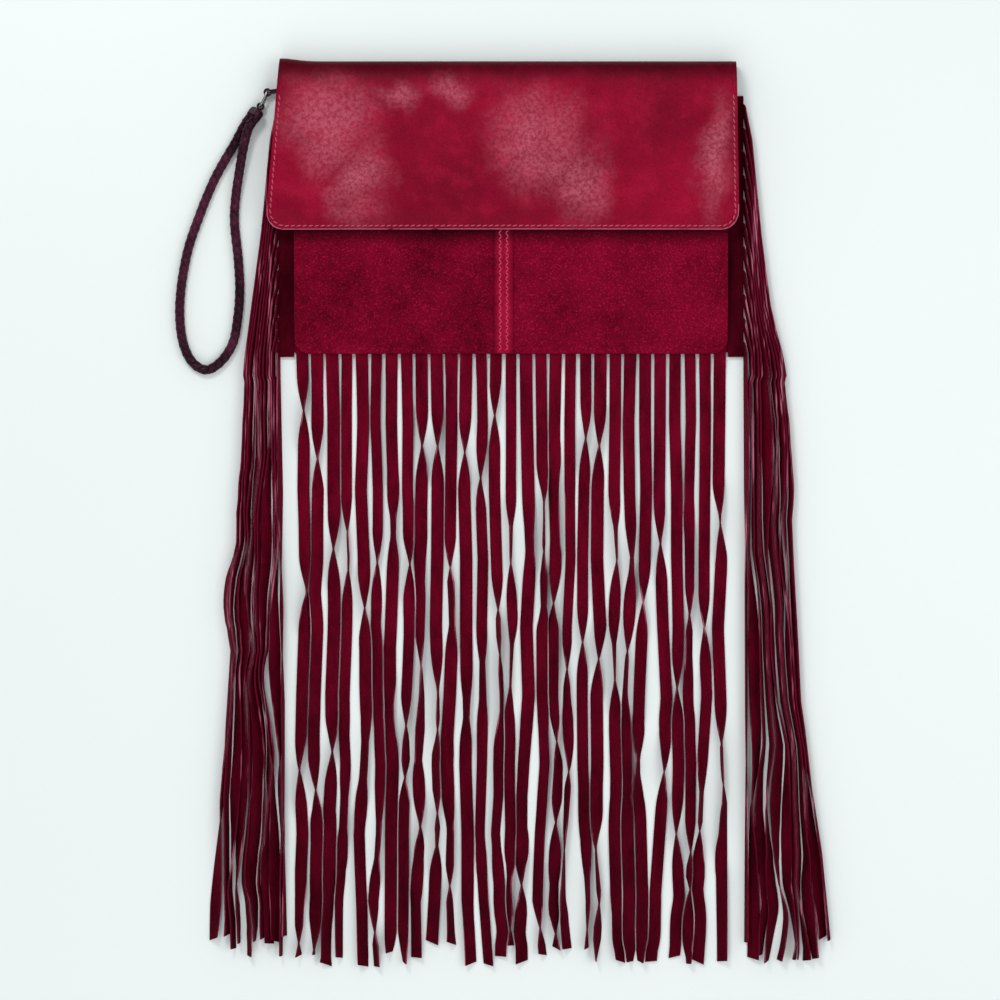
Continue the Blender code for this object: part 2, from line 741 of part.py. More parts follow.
def make_side_fringe(side, way, suede):
    """Strips that leave the side seam, turn on edge and hang beside each other, the highest one outermost."""
    edge = BACK_HALF_WIDTH + CLEARANCE
    header_height = SUEDE + CLEARANCE + STRIP_THICKNESS / 2
    strips, tips, slants = side_layout(side, SIDE_LOWER_ROWS)
    combed = []
    header = []
    for index, (strip, tip_y, slant) in enumerate(zip(strips, tips, slants)):
        root_y = SIDE_TOP_Y - index * SIDE_STRIP_PITCH
        sections = []
        for step in range(SIDE_TURN_SECTIONS):
            share = step / SIDE_TURN_SECTIONS
            turned = share * math.pi / 2
            out = edge + SIDE_TURN_RADIUS * math.sin(turned)
            y = root_y - SIDE_TURN_RADIUS * (1 - math.cos(turned))
            tilted = smooth(share / SIDE_TILTED_BY)
            tilt = SIDE_TILT_AT_SEAM * tilted
            z = mix(header_height, lying_height(tilt, SIDE_STRIP_WIDTH), tilted)
            heading = math.pi + turned if way < 0 else -turned
            sections.append(strip_section(Vector((way * out, y, z)), heading, -way * tilt, SIDE_STRIP_WIDTH))
        level = []
        for place, y, tilt in strip:
            centre = Vector((way * (edge + place), y, lying_height(tilt, SIDE_STRIP_WIDTH)))
            heading = 3 * math.pi / 2 if way < 0 else -math.pi / 2
            level.append(strip_section(centre, heading, -way * tilt, SIDE_STRIP_WIDTH))
        combed.append(sections + cut_short(level, tip_y, slant))
        back = Vector((way * (edge - SIDE_HEADER_DEPTH), root_y, header_height))
        header.append(strip_section(back, math.pi if way < 0 else 0.0, 0.0, SIDE_STRIP_WIDTH))
    if way < 0:
        combed, header = combed[::-1], header[::-1]
    comb(f"{side}_fringe", header, combed, suede)


def loop_outline(base, eye, inner_radius, thickness):
    """Plan outline of a strip that runs from base round an eye and back, its two legs side by side."""
    base, eye = Vector(base), Vector(eye)
    along = (eye - base).normalized()
    beside = Vector((-along.y, along.x))
    outer_radius = inner_radius + thickness
    leg_gap = CLEARANCE
    outer = [base - beside * (thickness + leg_gap / 2)]
    inner = [base - beside * leg_gap / 2]
    neck = math.asin((thickness + leg_gap / 2) / outer_radius)
    inner_neck = math.asin(leg_gap / 2 / inner_radius)
    for step in range(LOOP_STEPS + 1):
        share = step / LOOP_STEPS
        turn = mix(math.pi + neck, 3 * math.pi - neck, share)
        outer.append(eye + (along * math.cos(turn) + beside * math.sin(turn)) * outer_radius)
        turn = mix(math.pi + inner_neck, 3 * math.pi - inner_neck, share)
        inner.append(eye + (along * math.cos(turn) + beside * math.sin(turn)) * inner_radius)
    outer.append(base + beside * (thickness + leg_gap / 2))
    inner.append(base + beside * leg_gap / 2)
    return outer, inner


def folded_strip(name, base, eye, low, high, finish):
    """A strip of leather standing on edge, folded round the eye that its link hangs in."""
    outer, inner = loop_outline(base, eye, EYE_RADIUS, TAB_THICKNESS)
    sections = []
    for outside, inside in zip(outer, inner):
        sections.append(
            [
                Vector((*outside, low)),
                Vector((*inside, low)),
                Vector((*inside, high)),
                Vector((*outside, high)),
            ]
        )
    return tube(name, sections, finish)


def link_middle():
    return LINK_FLOOR_GAP + LINK_HEIGHT / 2


def link_way():
    return Vector((math.cos(LINK_HEADING), math.sin(LINK_HEADING), 0.0))


def make_tab(leather):
    low = LINK_FLOOR_GAP + LINK_WIRE + CLEARANCE
    high = link_middle() + TAB_WIDTH / 2
    return folded_strip("ring_tab", TAB_BASE, TAB_EYE, low, high, leather)


def make_link(nickel):
    """A rounded rectangle of round wire that stands on edge, its near end through the tab's eye."""
    near = Vector((*TAB_EYE, link_middle()))
    way = link_way()
    up = Vector((0, 0, 1))
    half_height = (LINK_HEIGHT - LINK_WIRE) / 2
    corners = ((0.0, -1), (LINK_LENGTH, -1), (LINK_LENGTH, 1), (0.0, 1))
    inward = ((1, 1), (-1, 1), (-1, -1), (1, -1))
    route = []
    for number, ((along, rise), (turn_x, turn_z)) in enumerate(zip(corners, inward)):
        centre_x = along + turn_x * LINK_CORNER
        centre_z = rise * half_height + turn_z * LINK_CORNER
        for step in range(LINK_CORNER_STEPS):
            turn = math.pi + (number + step / (LINK_CORNER_STEPS - 1)) * math.pi / 2
            x = centre_x + LINK_CORNER * math.cos(turn)
            z = centre_z + LINK_CORNER * math.sin(turn)
            route.append((x, z, turn))
    side = way.cross(up)
    sections = []
    for x, z, turn in route:
        outward = way * math.cos(turn) + up * math.sin(turn)
        middle = near + way * x + up * z
        ring = []
        for index in range(LINK_SIDES):
            angle = 2 * math.pi * index / LINK_SIDES
            ring.append(middle + (outward * math.cos(angle) + side * math.sin(angle)) * (LINK_WIRE / 2))
        sections.append(ring)
    return tube("ring_link", sections, nickel, closed=True)


def make_strap_end(leather):
    """The leather loop on the link, and the wrap behind it that grips both ends of the cord."""
    way = link_way()
    far = Vector((*TAB_EYE, link_middle())) + way * LINK_LENGTH
    first, second = Vector(CORD_ROUTE[0]), Vector(CORD_ROUTE[-1])
    middle = (first + second) / 2
    heading = (middle - far).to_2d().normalized()
    face = middle - Vector((*heading, 0)) * CLEARANCE
    base = face.to_2d() - heading * STRAP_END_LENGTH * STRAP_END_LOOP_SHARE
    low, high = link_middle() - TAB_WIDTH / 2, link_middle() + TAB_WIDTH / 2
    loop = folded_strip("strap_end", base, far.to_2d(), low, high, leather)
    radius = CORD_DIAMETER / 2 + STRAP_END_WALL - CLEARANCE
    ring = []
    spread = (second - first) / 2
    axis = Vector((-heading.y, heading.x, 0))
    for index in range(STRAP_END_SIDES):
        turn = 2 * math.pi * index / STRAP_END_SIDES
        round_it = axis * math.cos(turn) + Vector((0, 0, math.sin(turn)))
        side = 1 if round_it.dot(spread) > 0 else -1
        ring.append(spread * side * STRAP_END_SPREAD + round_it * radius * STRAP_END_SQUEEZE)
    sections = []
    for place, size in STRAP_END_PROFILE:
        centre = face - Vector((*heading, 0)) * STRAP_END_LENGTH * place
        sections.append([centre + point * size for point in ring])
    wrap = tube("strap_wrap", sections, leather)
    union = loop.modifiers.new("wrap", "BOOLEAN")
    union.operation = "UNION"
    union.object = wrap
    wrap.hide_render = True
    wrap.display_type = "WIRE"
    return loop


def smooth_route(points, spacing):
    """Evenly spaced points on one smooth curve through the given ones."""
    points = [Vector(point) for point in points]
    ends = [points[0] * 2 - points[1], *points, points[-1] * 2 - points[-2]]
    fine = []
    for before, start, end, after in zip(ends, ends[1:], ends[2:], ends[3:]):
        for step in range(ROUTE_STEPS):
            t = step / ROUTE_STEPS
            fine.append(
                0.5
                * (
                    2 * start
                    + (end - before) * t
                    + (2 * before - 5 * start + 4 * end - after) * t**2
                    + (3 * start - before - 3 * end + after) * t**3
                )
            )
    fine.append(points[-1])
    length = sum((b - a).length for a, b in zip(fine, fine[1:]))
    count = max(2, round(length / spacing))
    wanted = [length * index / count for index in range(count + 1)]
    even = []
    travelled = 0.0
    for a, b in zip(fine, fine[1:]):
        step = (b - a).length
        while len(even) < count and travelled + step >= wanted[len(even)]:
            even.append(a.lerp(b, (wanted[len(even)] - travelled) / step))
        travelled += step
    even.append(fine[-1])
    return even


def make_cord(braid):
    route = smooth_route(CORD_ROUTE, CORD_POINT_SPACING)
    data = bpy.data.curves.new("wrist_cord", "CURVE")
    data.dimensions = "3D"
    data.bevel_depth = CORD_DIAMETER / 2
    data.bevel_resolution = 2
    data.use_fill_caps = True
    spline = data.splines.new("POLY")
    spline.points.add(len(route) - 1)
    for point, place in zip(spline.points, route):
        point.co = (*place, 1)
    data.materials.append(braid)
    cord = bpy.data.objects.new("wrist_cord", data)
    bpy.context.scene.collection.objects.link(cord)
    return cord


def main():
    for old in list(bpy.data.objects):
        bpy.data.objects.remove(old, do_unlink=True)
    suede = material("suede", 0.9)
    leather = material("leather", 0.42)
    lining = material("lining", 0.8)
    braid = material("braid", 0.5)
    nickel = material("nickel", 0.25, 1.0)
    make_back(suede, lining)
    make_front(suede, lining)
    make_flap(leather, lining)
    make_fold(leather)
    make_front_fringe(suede)
    for side, way in (("left", -1), ("right", 1)):
        make_gusset(side, way, suede)
        make_side_fringe(side, way, suede)
    seat = SNAP_SLOPE_ALLOWANCE + 2 * CLEARANCE
    socket_low = front_high(SEAM_X, SNAP_Y) + SEAM_STRIP_THICKNESS + seat
    stud_high = flap_low(SEAM_X, SNAP_Y) - LINING - seat
    make_snap("snap_socket", socket_low, 1, nickel)
    make_snap("snap_stud", stud_high - SNAP_THICKNESS, -1, nickel)
    make_tab(leather)
    make_link(nickel)
    make_strap_end(leather)
    make_cord(braid)


main()
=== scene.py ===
"""Dresses the fringed suede clutch: its leather, suede, fringes, braided cord, metal and stage."""

import math
import random

import bmesh
import bpy
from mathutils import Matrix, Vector, noise


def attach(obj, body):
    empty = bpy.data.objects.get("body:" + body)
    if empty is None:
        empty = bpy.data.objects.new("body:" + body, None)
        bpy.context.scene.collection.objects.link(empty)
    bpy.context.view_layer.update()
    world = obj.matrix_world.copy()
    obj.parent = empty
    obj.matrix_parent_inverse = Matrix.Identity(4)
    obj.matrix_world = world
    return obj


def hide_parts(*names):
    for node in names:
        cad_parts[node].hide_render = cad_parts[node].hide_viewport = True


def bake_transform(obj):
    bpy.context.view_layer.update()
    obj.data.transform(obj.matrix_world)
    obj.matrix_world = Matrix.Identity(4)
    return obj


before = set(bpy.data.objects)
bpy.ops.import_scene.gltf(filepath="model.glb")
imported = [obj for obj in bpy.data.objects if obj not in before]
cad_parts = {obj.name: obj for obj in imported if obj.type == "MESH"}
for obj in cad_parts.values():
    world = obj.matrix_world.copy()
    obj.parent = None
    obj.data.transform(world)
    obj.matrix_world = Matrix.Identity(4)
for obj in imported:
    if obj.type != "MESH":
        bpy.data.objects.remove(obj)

bl_info = {
    "name": "Fringed Suede Clutch",
    "version": (1, 0, 0),
    "blender": (4, 5, 0),
    "location": "3D View > Sidebar > Clutch",
    "description": "Builds the leather, suede, fringes, braided cord and stage of a fringed clutch",
    "category": "Object",
}

# Sheets, as in the solids
SUEDE = 0.0014
LEATHER = 0.0016
STRIP_THICKNESS = 0.0010
CLEARANCE = 0.0003

# Pouch
BACK_HALF_WIDTH = 0.1395
FRONT_HALF_WIDTH = 0.134
BOTTOM_Y = -0.0924
MOUTH_Y = 0.060
FOLD_Y = 0.0865
MOUTH_HEIGHT = 0.0118
PANEL_CROWN = 0.0022
PANEL_RISE_SHARE = 0.75
PANEL_RISE_POWER = 0.8
CROWN_SHARE = 0.8
CORNER_RADIUS = 0.009
SEAM_X = -0.0046
SEAM_STRIP_WIDTH = 0.0124
SEAM_STRIP_THICKNESS = 0.0009

# Flap and fold. The worn leather sits 2 mm further left than the solids and sags along the top edge
FLAP_HALF_WIDTH_TOP = 0.1410
FLAP_HALF_WIDTH_BOTTOM = 0.1460
FLAP_TOP_SHIFT = -0.0020
FLAP_SHIFT = -0.0035
TOP_SAG = 0.0018
TOP_LIFT_WIDTH = 0.011
FLAP_END_Y = -0.0162
FLAP_CORNER_RADIUS = 0.011
FLAP_GAP = 0.0054
FLAP_EDGE_GAP = 0.0018
FLAP_EDGE_LENGTH = 0.016
FOLD_ROUNDING = 0.020
FOLD_REACH = 0.0034
FOLD_MIDDLE_HEIGHT = 0.0085
FOLD_SHAPE = 2.5
FOLD_BOTTOM = 0.00025
FOLD_INNER_Y = FOLD_Y - 0.0045
FOLD_THINNED = 0.8
FLAP_ROUNDING_STEPS = 16
FOLD_ROUNDING_STEPS = 14
LAST_ROW_GAP = 0.0040

# Fine shape of the leather and the suede. Waves are (height, size, seed), grooves and rolls (depth, width)
FLAP_WAVES = ((0.00060, 0.055, 2.3), (0.00022, 0.020, 7.1))
FLAP_CALM_EDGE = 0.012
FLAP_GROOVE = (0.00030, 0.0006)
FLAP_EDGE_ROLL = (0.00045, 0.0007)
FRONT_WAVES = ((0.00050, 0.040, 4.4), (0.00018, 0.014, 1.9))
FRONT_CALM_SEAM = 0.010
FRONT_CALM_SIDE = 0.006
FRONT_GROOVE_HEIGHT = 0.0042
FRONT_GROOVE = (0.00045, 0.0007)
FRONT_SIDE_ROLL = (0.0004, 0.0010)
FRONT_COLUMNS = 44
SEAM_ROUNDING = 0.55
SEAM_GROOVE = (0.00022, 0.0008)
SEAM_WAVE = (0.0003, 0.012, 5.5)
SEAM_ABOVE_BOTTOM = 0.0003
SEAM_SHORTER = 0.0005
SEAM_THINNED = 0.9
SEAM_COLUMNS = 16

# Front fringe
FRONT_STRIPS = 29
FRONT_STRIP_WIDTH = (0.0066, 0.0080)
FRONT_HEADER_DEPTH = 0.009
FRONT_TIP_Y = -0.4650
FRONT_TIP_SPREAD = 0.0080
FRONT_ROWS = 100
FRONT_DROP_LENGTH = 0.020
FRONT_DRIFT = 0.0030
FRONT_DRIFT_STEPS = 9
FRONT_DRIFT_MEMORY = 0.8
FRONT_DRIFT_AT_SEAM = 0.3
FRONT_FIRST_TURN = math.radians(30)
FRONT_FIRST_TURN_LENGTH = 0.016
FRONT_WAVER = math.radians(14)
FRONT_FLAT_HOLD = (0.030, 0.110)
FRONT_EDGE_HOLD = (0.008, 0.030)
FRONT_QUARTER_TURNS = (0.4, 0.6, 1.0, 1.0, 2.0)
FRONT_LEAST_QUARTER = 0.8
STRIP_CLEARANCE = 0.0006
SPREAD_SWEEPS = 60
TIP_SLANT = 0.45
TIP_ROOM = 0.004
HALF_TURN_LENGTH = 0.052

# How far below the seam some strips of the front stand on edge, by their number from the left
FRONT_ON_EDGE = {
    1: (0.039,),
    2: (0.058, 0.277),
    3: (0.125,),
    5: (0.151,),
    6: (0.137,),
    8: (0.138,),
    9: (0.055,),
    10: (0.058,),
    12: (0.060,),
    13: (0.070,),
    14: (0.033,),
    20: (0.056,),
    21: (0.056, 0.190),
    24: (0.150,),
    26: (0.210,),
    28: (0.176,),
}

# Side fringes
SIDE_STRIPS = 11
SIDE_STRIP_WIDTH = 0.0076
SIDE_STRIP_GAP = 0.0004
SIDE_STRIP_PITCH = 0.0147
SIDE_ROOT_SHARE = 0.99
SIDE_TOP_Y = 0.060
SIDE_HEADER_DEPTH = 0.0055
SIDE_TURN_RADIUS = 0.0052
SIDE_LANE_STEP = 0.0016
SIDE_TIP_Y = -0.4600
SIDE_TIP_SPREAD = 0.0090
SIDE_TILT_AT_SEAM = math.radians(80)
SIDE_TURN_SECTIONS = 10
SIDE_LOWER_ROWS = 84
SIDE_TILTED_BY = 0.8
SIDE_FIRST_CHANGE = (0.6, 1.0)
SIDE_TURN_SPACING = (0.042, 0.084)
SIDE_TURN_RATE = math.radians(1100)
SIDE_BROAD_CHANCE = (0.05, 0.40)
SIDE_BROAD_LEAN = (20, 38)
SIDE_EDGE_LEAN = (70, 86)
SIDE_BACKWARD_CHANCE = 0.4
SIDE_GAP_LENGTH = 0.075
SIDE_ROW_REACH = 0.008
SIDE_GAP_SWING = 0.45
SIDE_GAP_SHARPNESS = 4

# How far out of the side seam each bundle reaches: (distance below its top, width)
SIDE_OUTLINE = {
    "left": (
        (0.0, 0.004),
        (0.146, 0.0235),
        (0.252, 0.0275),
        (0.314, 0.0315),
        (0.403, 0.038),
        (0.520, 0.045),
    ),
    "right": (
        (0.0, 0.004),
        (0.146, 0.0235),
        (0.227, 0.0315),
        (0.363, 0.0380),
        (0.456, 0.052),
        (0.520, 0.058),
    ),
}
SIDE_INNER_TIP = {"left": 0.0005, "right": 0.0060}

# Fine shape of a strip, and how far the sheet stays uncut outside the side seams
SIDE_MARGIN = 0.0042
STRIP_CUP = 0.0007
STRIP_CUP_LENGTH = 0.030
CUP_SHARES = (-1.0, -0.5, 0.0, 0.5, 1.0)
# Numbers of the two cut sides among the ten sides of a strip's cross-section
CUT_SIDES = (4, 9)

# Stitches
STITCH_PITCH = 0.0037
STITCH_LENGTH = 0.0032
STITCH_THICKNESS = 0.0010
STITCH_SLANT = 0.22
STITCH_INSET = 0.0023
STITCH_RISE = 0.22
STITCH_SIDE_POINTS = 24
STITCH_CORNER_POINTS = 8
ZIGZAG_PITCH = 0.0040
ZIGZAG_WIDTH = 0.0017
ZIGZAG_OFFSET = 0.0021
ZIGZAG_MARGIN = 0.002
ZIGZAG_THINNED = 0.8
ZIGZAG_RISE = 0.25
SLOPE_REACH = 0.001

# Wrist cord and link
CORD_DIAMETER = 0.0062
CORD_STRANDS = 8
CORD_BRAID_LENGTH = 0.021
CORD_STRAND_WIDTH = 0.0026
CORD_STRAND_THICKNESS = 0.0009
CORD_CURVE_STEPS = 12
CORD_RING_SPACING = 0.0009
CORD_WEAVE = 0.42
CORD_CORE_SINK = 0.3
CORD_CORE_CORNERS = 10
# A strand's cross-section: (share of half its width, share of its thickness)
CORD_STRAND_SECTION = ((-1, -0.2), (-0.8, 0.42), (0, 0.55), (0.8, 0.42), (1, -0.2), (0, -0.45))
CORD_ROUTE = (
    (-0.1605, 0.0557, 0.0032),
    (-0.1653, 0.0486, 0.0032),
    (-0.1712, 0.0375, 0.0032),
    (-0.1780, 0.0260, 0.0032),
    (-0.1848, 0.0130, 0.0032),
    (-0.1925, -0.0059, 0.0032),
    (-0.2005, -0.0300, 0.0032),
    (-0.2049, -0.0583, 0.0032),
    (-0.2040, -0.0812, 0.0032),
    (-0.1984, -0.0961, 0.0032),
    (-0.1891, -0.1023, 0.0032),
    (-0.1798, -0.0973, 0.0032),
    (-0.1722, -0.0856, 0.0032),
    (-0.1690, -0.0682, 0.0032),
    (-0.1680, -0.0515, 0.0032),
    (-0.1690, -0.0330, 0.0032),
    (-0.1712, -0.0118, 0.0032),
    (-0.1706, 0.0031, 0.0036),
    (-0.1681, 0.0200, 0.0056),
    (-0.1655, 0.0345, 0.0080),
    (-0.1623, 0.0466, 0.0087),
    (-0.1575, 0.0537, 0.0087),
)
TAB_EYE = (-0.1507, 0.0694)
LINK_WIRE = 0.0015
LINK_LENGTH = 0.0098
LINK_HEIGHT = 0.0086
LINK_CORNER = 0.0012
LINK_HEADING = math.radians(-116)
LINK_FLOOR_GAP = 0.0002
LINK_WIRE_CORNERS = 16
LINK_BEND_STEPS = 8

# Finish: scale of each pattern, larger is finer
NAP_PATCHES = 26
NAP_STROKES = 150
NAP_GRAIN = 1100
NAP_FLECKS = 900
LEATHER_PEBBLES = 900
LEATHER_CLOUDS = 16
LEATHER_WEAR = 60
LEATHER_PORES = 1500
PAINTED_HIGHLIGHT_RAGS = 42
PAINTED_HIGHLIGHT_STROKES = 420
PAINTED_HIGHLIGHT_WANDER = 24
EDGE_FIBRES = 150
THREAD_TWIST = 2600
CLOTH_THREADS = 420
PLATE_RUBS = 700

# Finish: how colours made from a chosen one relate to it
SUEDE_DARK = 0.30
SUEDE_FLECK = 2.4
# Painted highlight: the seam strip's suede is a lighter copy of the front's
SEAM_PAINTED_HIGHLIGHT = 1.9
SEAM_FLECK = 1.6
FRINGE_BASE = 0.74
FRINGE_DARK = 0.24
FRINGE_FLECK = 1.5
EDGE_STAIN = (0.22, 0.02, 0.08)
EDGE_FADE = 0.15
THREAD_SHADE = 0.6
CLOTH_SHADE = 0.6
PLATE_SHADE = 0.75

# Finish: where a shade begins and ends, and its strength at both places
# Painted shade: the fringe darker towards its tips
TIP_SHADE_PLACES = (-0.46, -0.12)
TIP_SHADE = (0.55, 1.0)
# Painted shade on the flap's top band, where the fold turns away from the light
PAINTED_TOP_SHADE_PLACES = (0.070, 0.086)
PAINTED_TOP_SHADE = (1.0, 0.33)
# Painted highlights on the flap: the middle, and the half width and height, of each patch
PAINTED_HIGHLIGHT_PATCHES = (
    ((-0.112, 0.050), (0.027, 0.032)),
    ((-0.090, 0.016), (0.018, 0.032)),
    ((-0.069, 0.063), (0.014, 0.010)),
    ((-0.036, 0.071), (0.016, 0.012)),
    ((0.018, 0.040), (0.030, 0.036)),
    ((0.044, 0.010), (0.022, 0.026)),
    ((0.128, 0.028), (0.013, 0.038)),
)
PAINTED_HIGHLIGHT_FADE = (0.40, 1.90)
PAINTED_HIGHLIGHT_WARP = 0.045
PAINTED_HIGHLIGHT_COLOUR = (0.52, 0.110, 0.165)
PAINTED_HIGHLIGHT_SHARE = 0.78
COAT_SHARE = 0.15
COAT_ROUGHNESS = 0.32
RAW_EDGE_WIDTH = 0.0006
# Painted shadow on the front, under the flap's lower edge
FLAP_SHADOW_PLACES = (FLAP_END_Y - 0.0120, FLAP_END_Y - 0.0005)
FLAP_SHADOW_STRENGTH = (1.0, 0.34)
# Painted highlight along the seam's ridge, fading towards its sides
SEAM_HIGHLIGHT_PLACES = (0.0024, 0.0060)
SEAM_HIGHLIGHT_FADE = (1.0, 0.50)
# Painted shade in the narrow recess between the front and the side fringes
GAP_PAINTED_SHADE = 0.42
GAP_INNER_PLACES = (FRONT_HALF_WIDTH, FRONT_HALF_WIDTH + 0.0008)
GAP_OUTER_PLACES = (BACK_HALF_WIDTH + 0.0035, BACK_HALF_WIDTH + 0.0070)
GAP_LOWER_PLACES = (BOTTOM_Y - 0.004, BOTTOM_Y)
EDGE_STREAK = (2.2, 0.12, 2.2)
RAW_EDGE_STREAK = (0.5, 0.5, 0.5)
FRINGE_STREAK = (3.2, 1.0, 1.0)

# Stage
METRES_PER_PIXEL = 0.00062
PIXEL_OF_MIDDLE = (511.0, 205.0)
PICTURE = 1000
CAMERA_HEIGHT = 2.6
SENSOR = 36.0
ROOM_LIGHT = 0.62
ROOM_MIRROR_LIGHT = 0.12

# Nodes that keep the solids' own shape and only get a finish
SUEDE_NODES = ("back_panel", "left_gusset", "right_gusset")
LINING_NODES = ("back_lining", "front_lining", "flap_lining")
SNAP_NODES = ("snap_socket", "snap_stud")
HOLDER_NODES = ("ring_tab", "strap_end")


# Numbers and shapes that several pieces share
def smooth(value):
    """Smooth step from 0 to 1, held level outside."""
    value = min(1.0, max(0.0, value))
    return value * value * (3 - 2 * value)


def mix(low, high, share):
    return low + (high - low) * share


def bump_of(distance, place, width):
    """A soft bump of height 1 round a place."""
    return math.exp(-(((distance - place) / width) ** 2))


def power_of_cos(turn, power):
    """A power of a cosine that rounding can't take below zero."""
    return max(0.0, math.cos(turn)) ** power


def corner_inset(distance, radius):
    """How far a rounded corner lies inside the straight side, at a distance from the end."""
    if distance >= radius:
        return 0.0
    return radius - math.sqrt(radius**2 - (radius - distance) ** 2)


def front_low(x, y):
    """Height of the front's inner face: low at the bottom seam, full towards the mouth."""
    seam_height = SUEDE + STRIP_THICKNESS + 2 * CLEARANCE
    share = min(1.0, max(0.0, (y - BOTTOM_Y) / (MOUTH_Y - BOTTOM_Y)))
    rise = math.sin(min(1.0, share / PANEL_RISE_SHARE) * math.pi / 2) ** PANEL_RISE_POWER if share else 0.0
    crown = PANEL_CROWN * (1 - (x / FRONT_HALF_WIDTH) ** 2) * math.sin(math.pi * share * CROWN_SHARE)
    return mix(seam_height, MOUTH_HEIGHT, rise) + max(0.0, crown)


def front_high(x, y):
    return front_low(x, y) + SUEDE


def flap_lying(x, y):
    """Height of the flap's inner face where it lies on the front."""
    lie = smooth((y - FLAP_END_Y) / FLAP_EDGE_LENGTH)
    return front_high(x, y) + mix(FLAP_EDGE_GAP, FLAP_GAP, lie)


def flap_centre(y):
    return FLAP_TOP_SHIFT + FLAP_SHIFT * (FOLD_Y - y) / (FOLD_Y - FLAP_END_Y)


def flap_half_width(y):
    return mix(FLAP_HALF_WIDTH_TOP, FLAP_HALF_WIDTH_BOTTOM, (FOLD_Y - y) / (FOLD_Y - FLAP_END_Y))


def fold_reach(x):
    """How far the leather stands out past the hinge line. It sags, but lifts at the left corner."""
    corner = FLAP_TOP_SHIFT - FLAP_HALF_WIDTH_TOP
    return FOLD_REACH - TOP_SAG * (1 - bump_of(x, corner, TOP_LIFT_WIDTH))


def flap_edge_distance(x, y):
    """How far a point of the flap lies inside its side and lower edges, round the corners too."""
    side = flap_half_width(y) - abs(x - flap_centre(y))
    end = y - FLAP_END_Y
    radius = FLAP_CORNER_RADIUS
    if side < radius and end < radius:
        return radius - math.hypot(radius - side, radius - end)
    return min(side, end)


def uneven(x, y, size, seed):
    """Smooth noise from about -1 to 1 over the bag, with features of the given size."""
    return noise.noise(Vector((x / size, y / size, seed)))


def waves(x, y, kinds):
    """Soft waves of a sheet, the sum of broad and fine ones."""
    return sum(height * uneven(x, y, size, seed) for height, size, seed in kinds)


# Turning meshes into pieces
def deselect():
    for other in bpy.context.selected_objects:
        other.select_set(False)


def pick(piece):
    deselect()
    piece.select_set(True)
    bpy.context.view_layer.objects.active = piece


def apply_all(piece):
    pick(piece)
    for modifier in list(piece.modifiers):
        bpy.ops.object.modifier_apply(modifier=modifier.name)


def new_piece(name, mesh, materials, outward=True):
    """Puts a bmesh into the scene as a smooth piece at the origin."""
    if outward:
        bmesh.ops.recalc_face_normals(mesh, faces=mesh.faces)
    data = bpy.data.meshes.new(name)
    mesh.to_mesh(data)
    mesh.free()
    for finish in materials:
        data.materials.append(finish)
    piece = bpy.data.objects.new(name, data)
    bpy.context.scene.collection.objects.link(piece)
    pick(piece)
    bpy.ops.object.shade_smooth_by_angle(angle=math.radians(50))
    return piece


def grid_piece(name, points, materials, thickness, bevel=0.0, looks_down=False):
    """A sheet of leather through rows of outer points, its rim with the last material."""
    mesh = bmesh.new()
    rows = [[mesh.verts.new(point) for point in row] for row in points]
    for first, second in zip(rows, rows[1:]):
        for index in range(len(first) - 1):
            mesh.faces.new((first[index], first[index + 1], second[index + 1], second[index]))
    mesh.normal_update()
    if (sum(face.normal.z for face in mesh.faces) < 0) != looks_down:
        bmesh.ops.reverse_faces(mesh, faces=mesh.faces)
    piece = new_piece(name, mesh, materials, outward=False)
    wall = piece.modifiers.new("wall", "SOLIDIFY")
    wall.thickness = thickness
    wall.offset = -1
    wall.material_offset_rim = len(materials) - 1
    if bevel:
        round_edge = piece.modifiers.new("round", "BEVEL")
        round_edge.width = bevel
        round_edge.segments = 2
        round_edge.limit_method = "ANGLE"
        round_edge.angle_limit = math.radians(60)
    apply_all(piece)
    return piece


def join_rings(mesh, rings, closed=False):
    """Walls between rings of corners, one after another. Gives (number in the ring, face) pairs."""
    faces = []
    following = rings[1:] + rings[:1] if closed else rings[1:]
    for first, second in zip(rings, following):
        for index in range(len(first)):
            after = (index + 1) % len(first)
            face = mesh.faces.new((first[index], first[after], second[after], second[index]))
            faces.append((index, face))
    return faces


def circle(mesh, centre, first_way, second_way, radius, count):
    """A ring of corners round a centre, in the plane of two directions."""
    ring = []
    for index in range(count):
        turn = 2 * math.pi * index / count
        outward = first_way * math.cos(turn) + second_way * math.sin(turn)
        ring.append(mesh.verts.new(centre + outward * radius))
    return ring


def edge_steps(length, fine, coarse, near):
    """Distances from 0 to length, close together near both ends."""
    count = max(2, math.ceil((length - 2 * near) / coarse))
    close = max(2, round(near / fine))
    start = [near * step / close for step in range(close)]
    middle = [mix(near, length - near, step / count) for step in range(count)]
    end = [mix(length - near, length, step / close) for step in range(close + 1)]
    return start + middle + end


# Material nodes
def feed(tree, sockets, values):
    """Links each socket to another one, or sets it to a plain value."""
    for socket, value in zip(sockets, values):
        if hasattr(value, "links"):
            tree.links.new(value, socket)
        elif socket.type == "RGBA" and hasattr(value, "__len__"):
            socket.default_value = (*value[:3], 1)
        else:
            socket.default_value = value


def object_place(tree):
    """The place on the object, in metres."""
    return tree.nodes.new("ShaderNodeTexCoord").outputs["Object"]


def noise_node(tree, scale, detail, vector, roughness=0.55, output="Fac"):
    made = tree.nodes.new("ShaderNodeTexNoise")
    sockets = [made.inputs[label] for label in ("Vector", "Scale", "Detail", "Roughness")]
    feed(tree, sockets, (vector, scale, detail, roughness))
    return made.outputs[output]


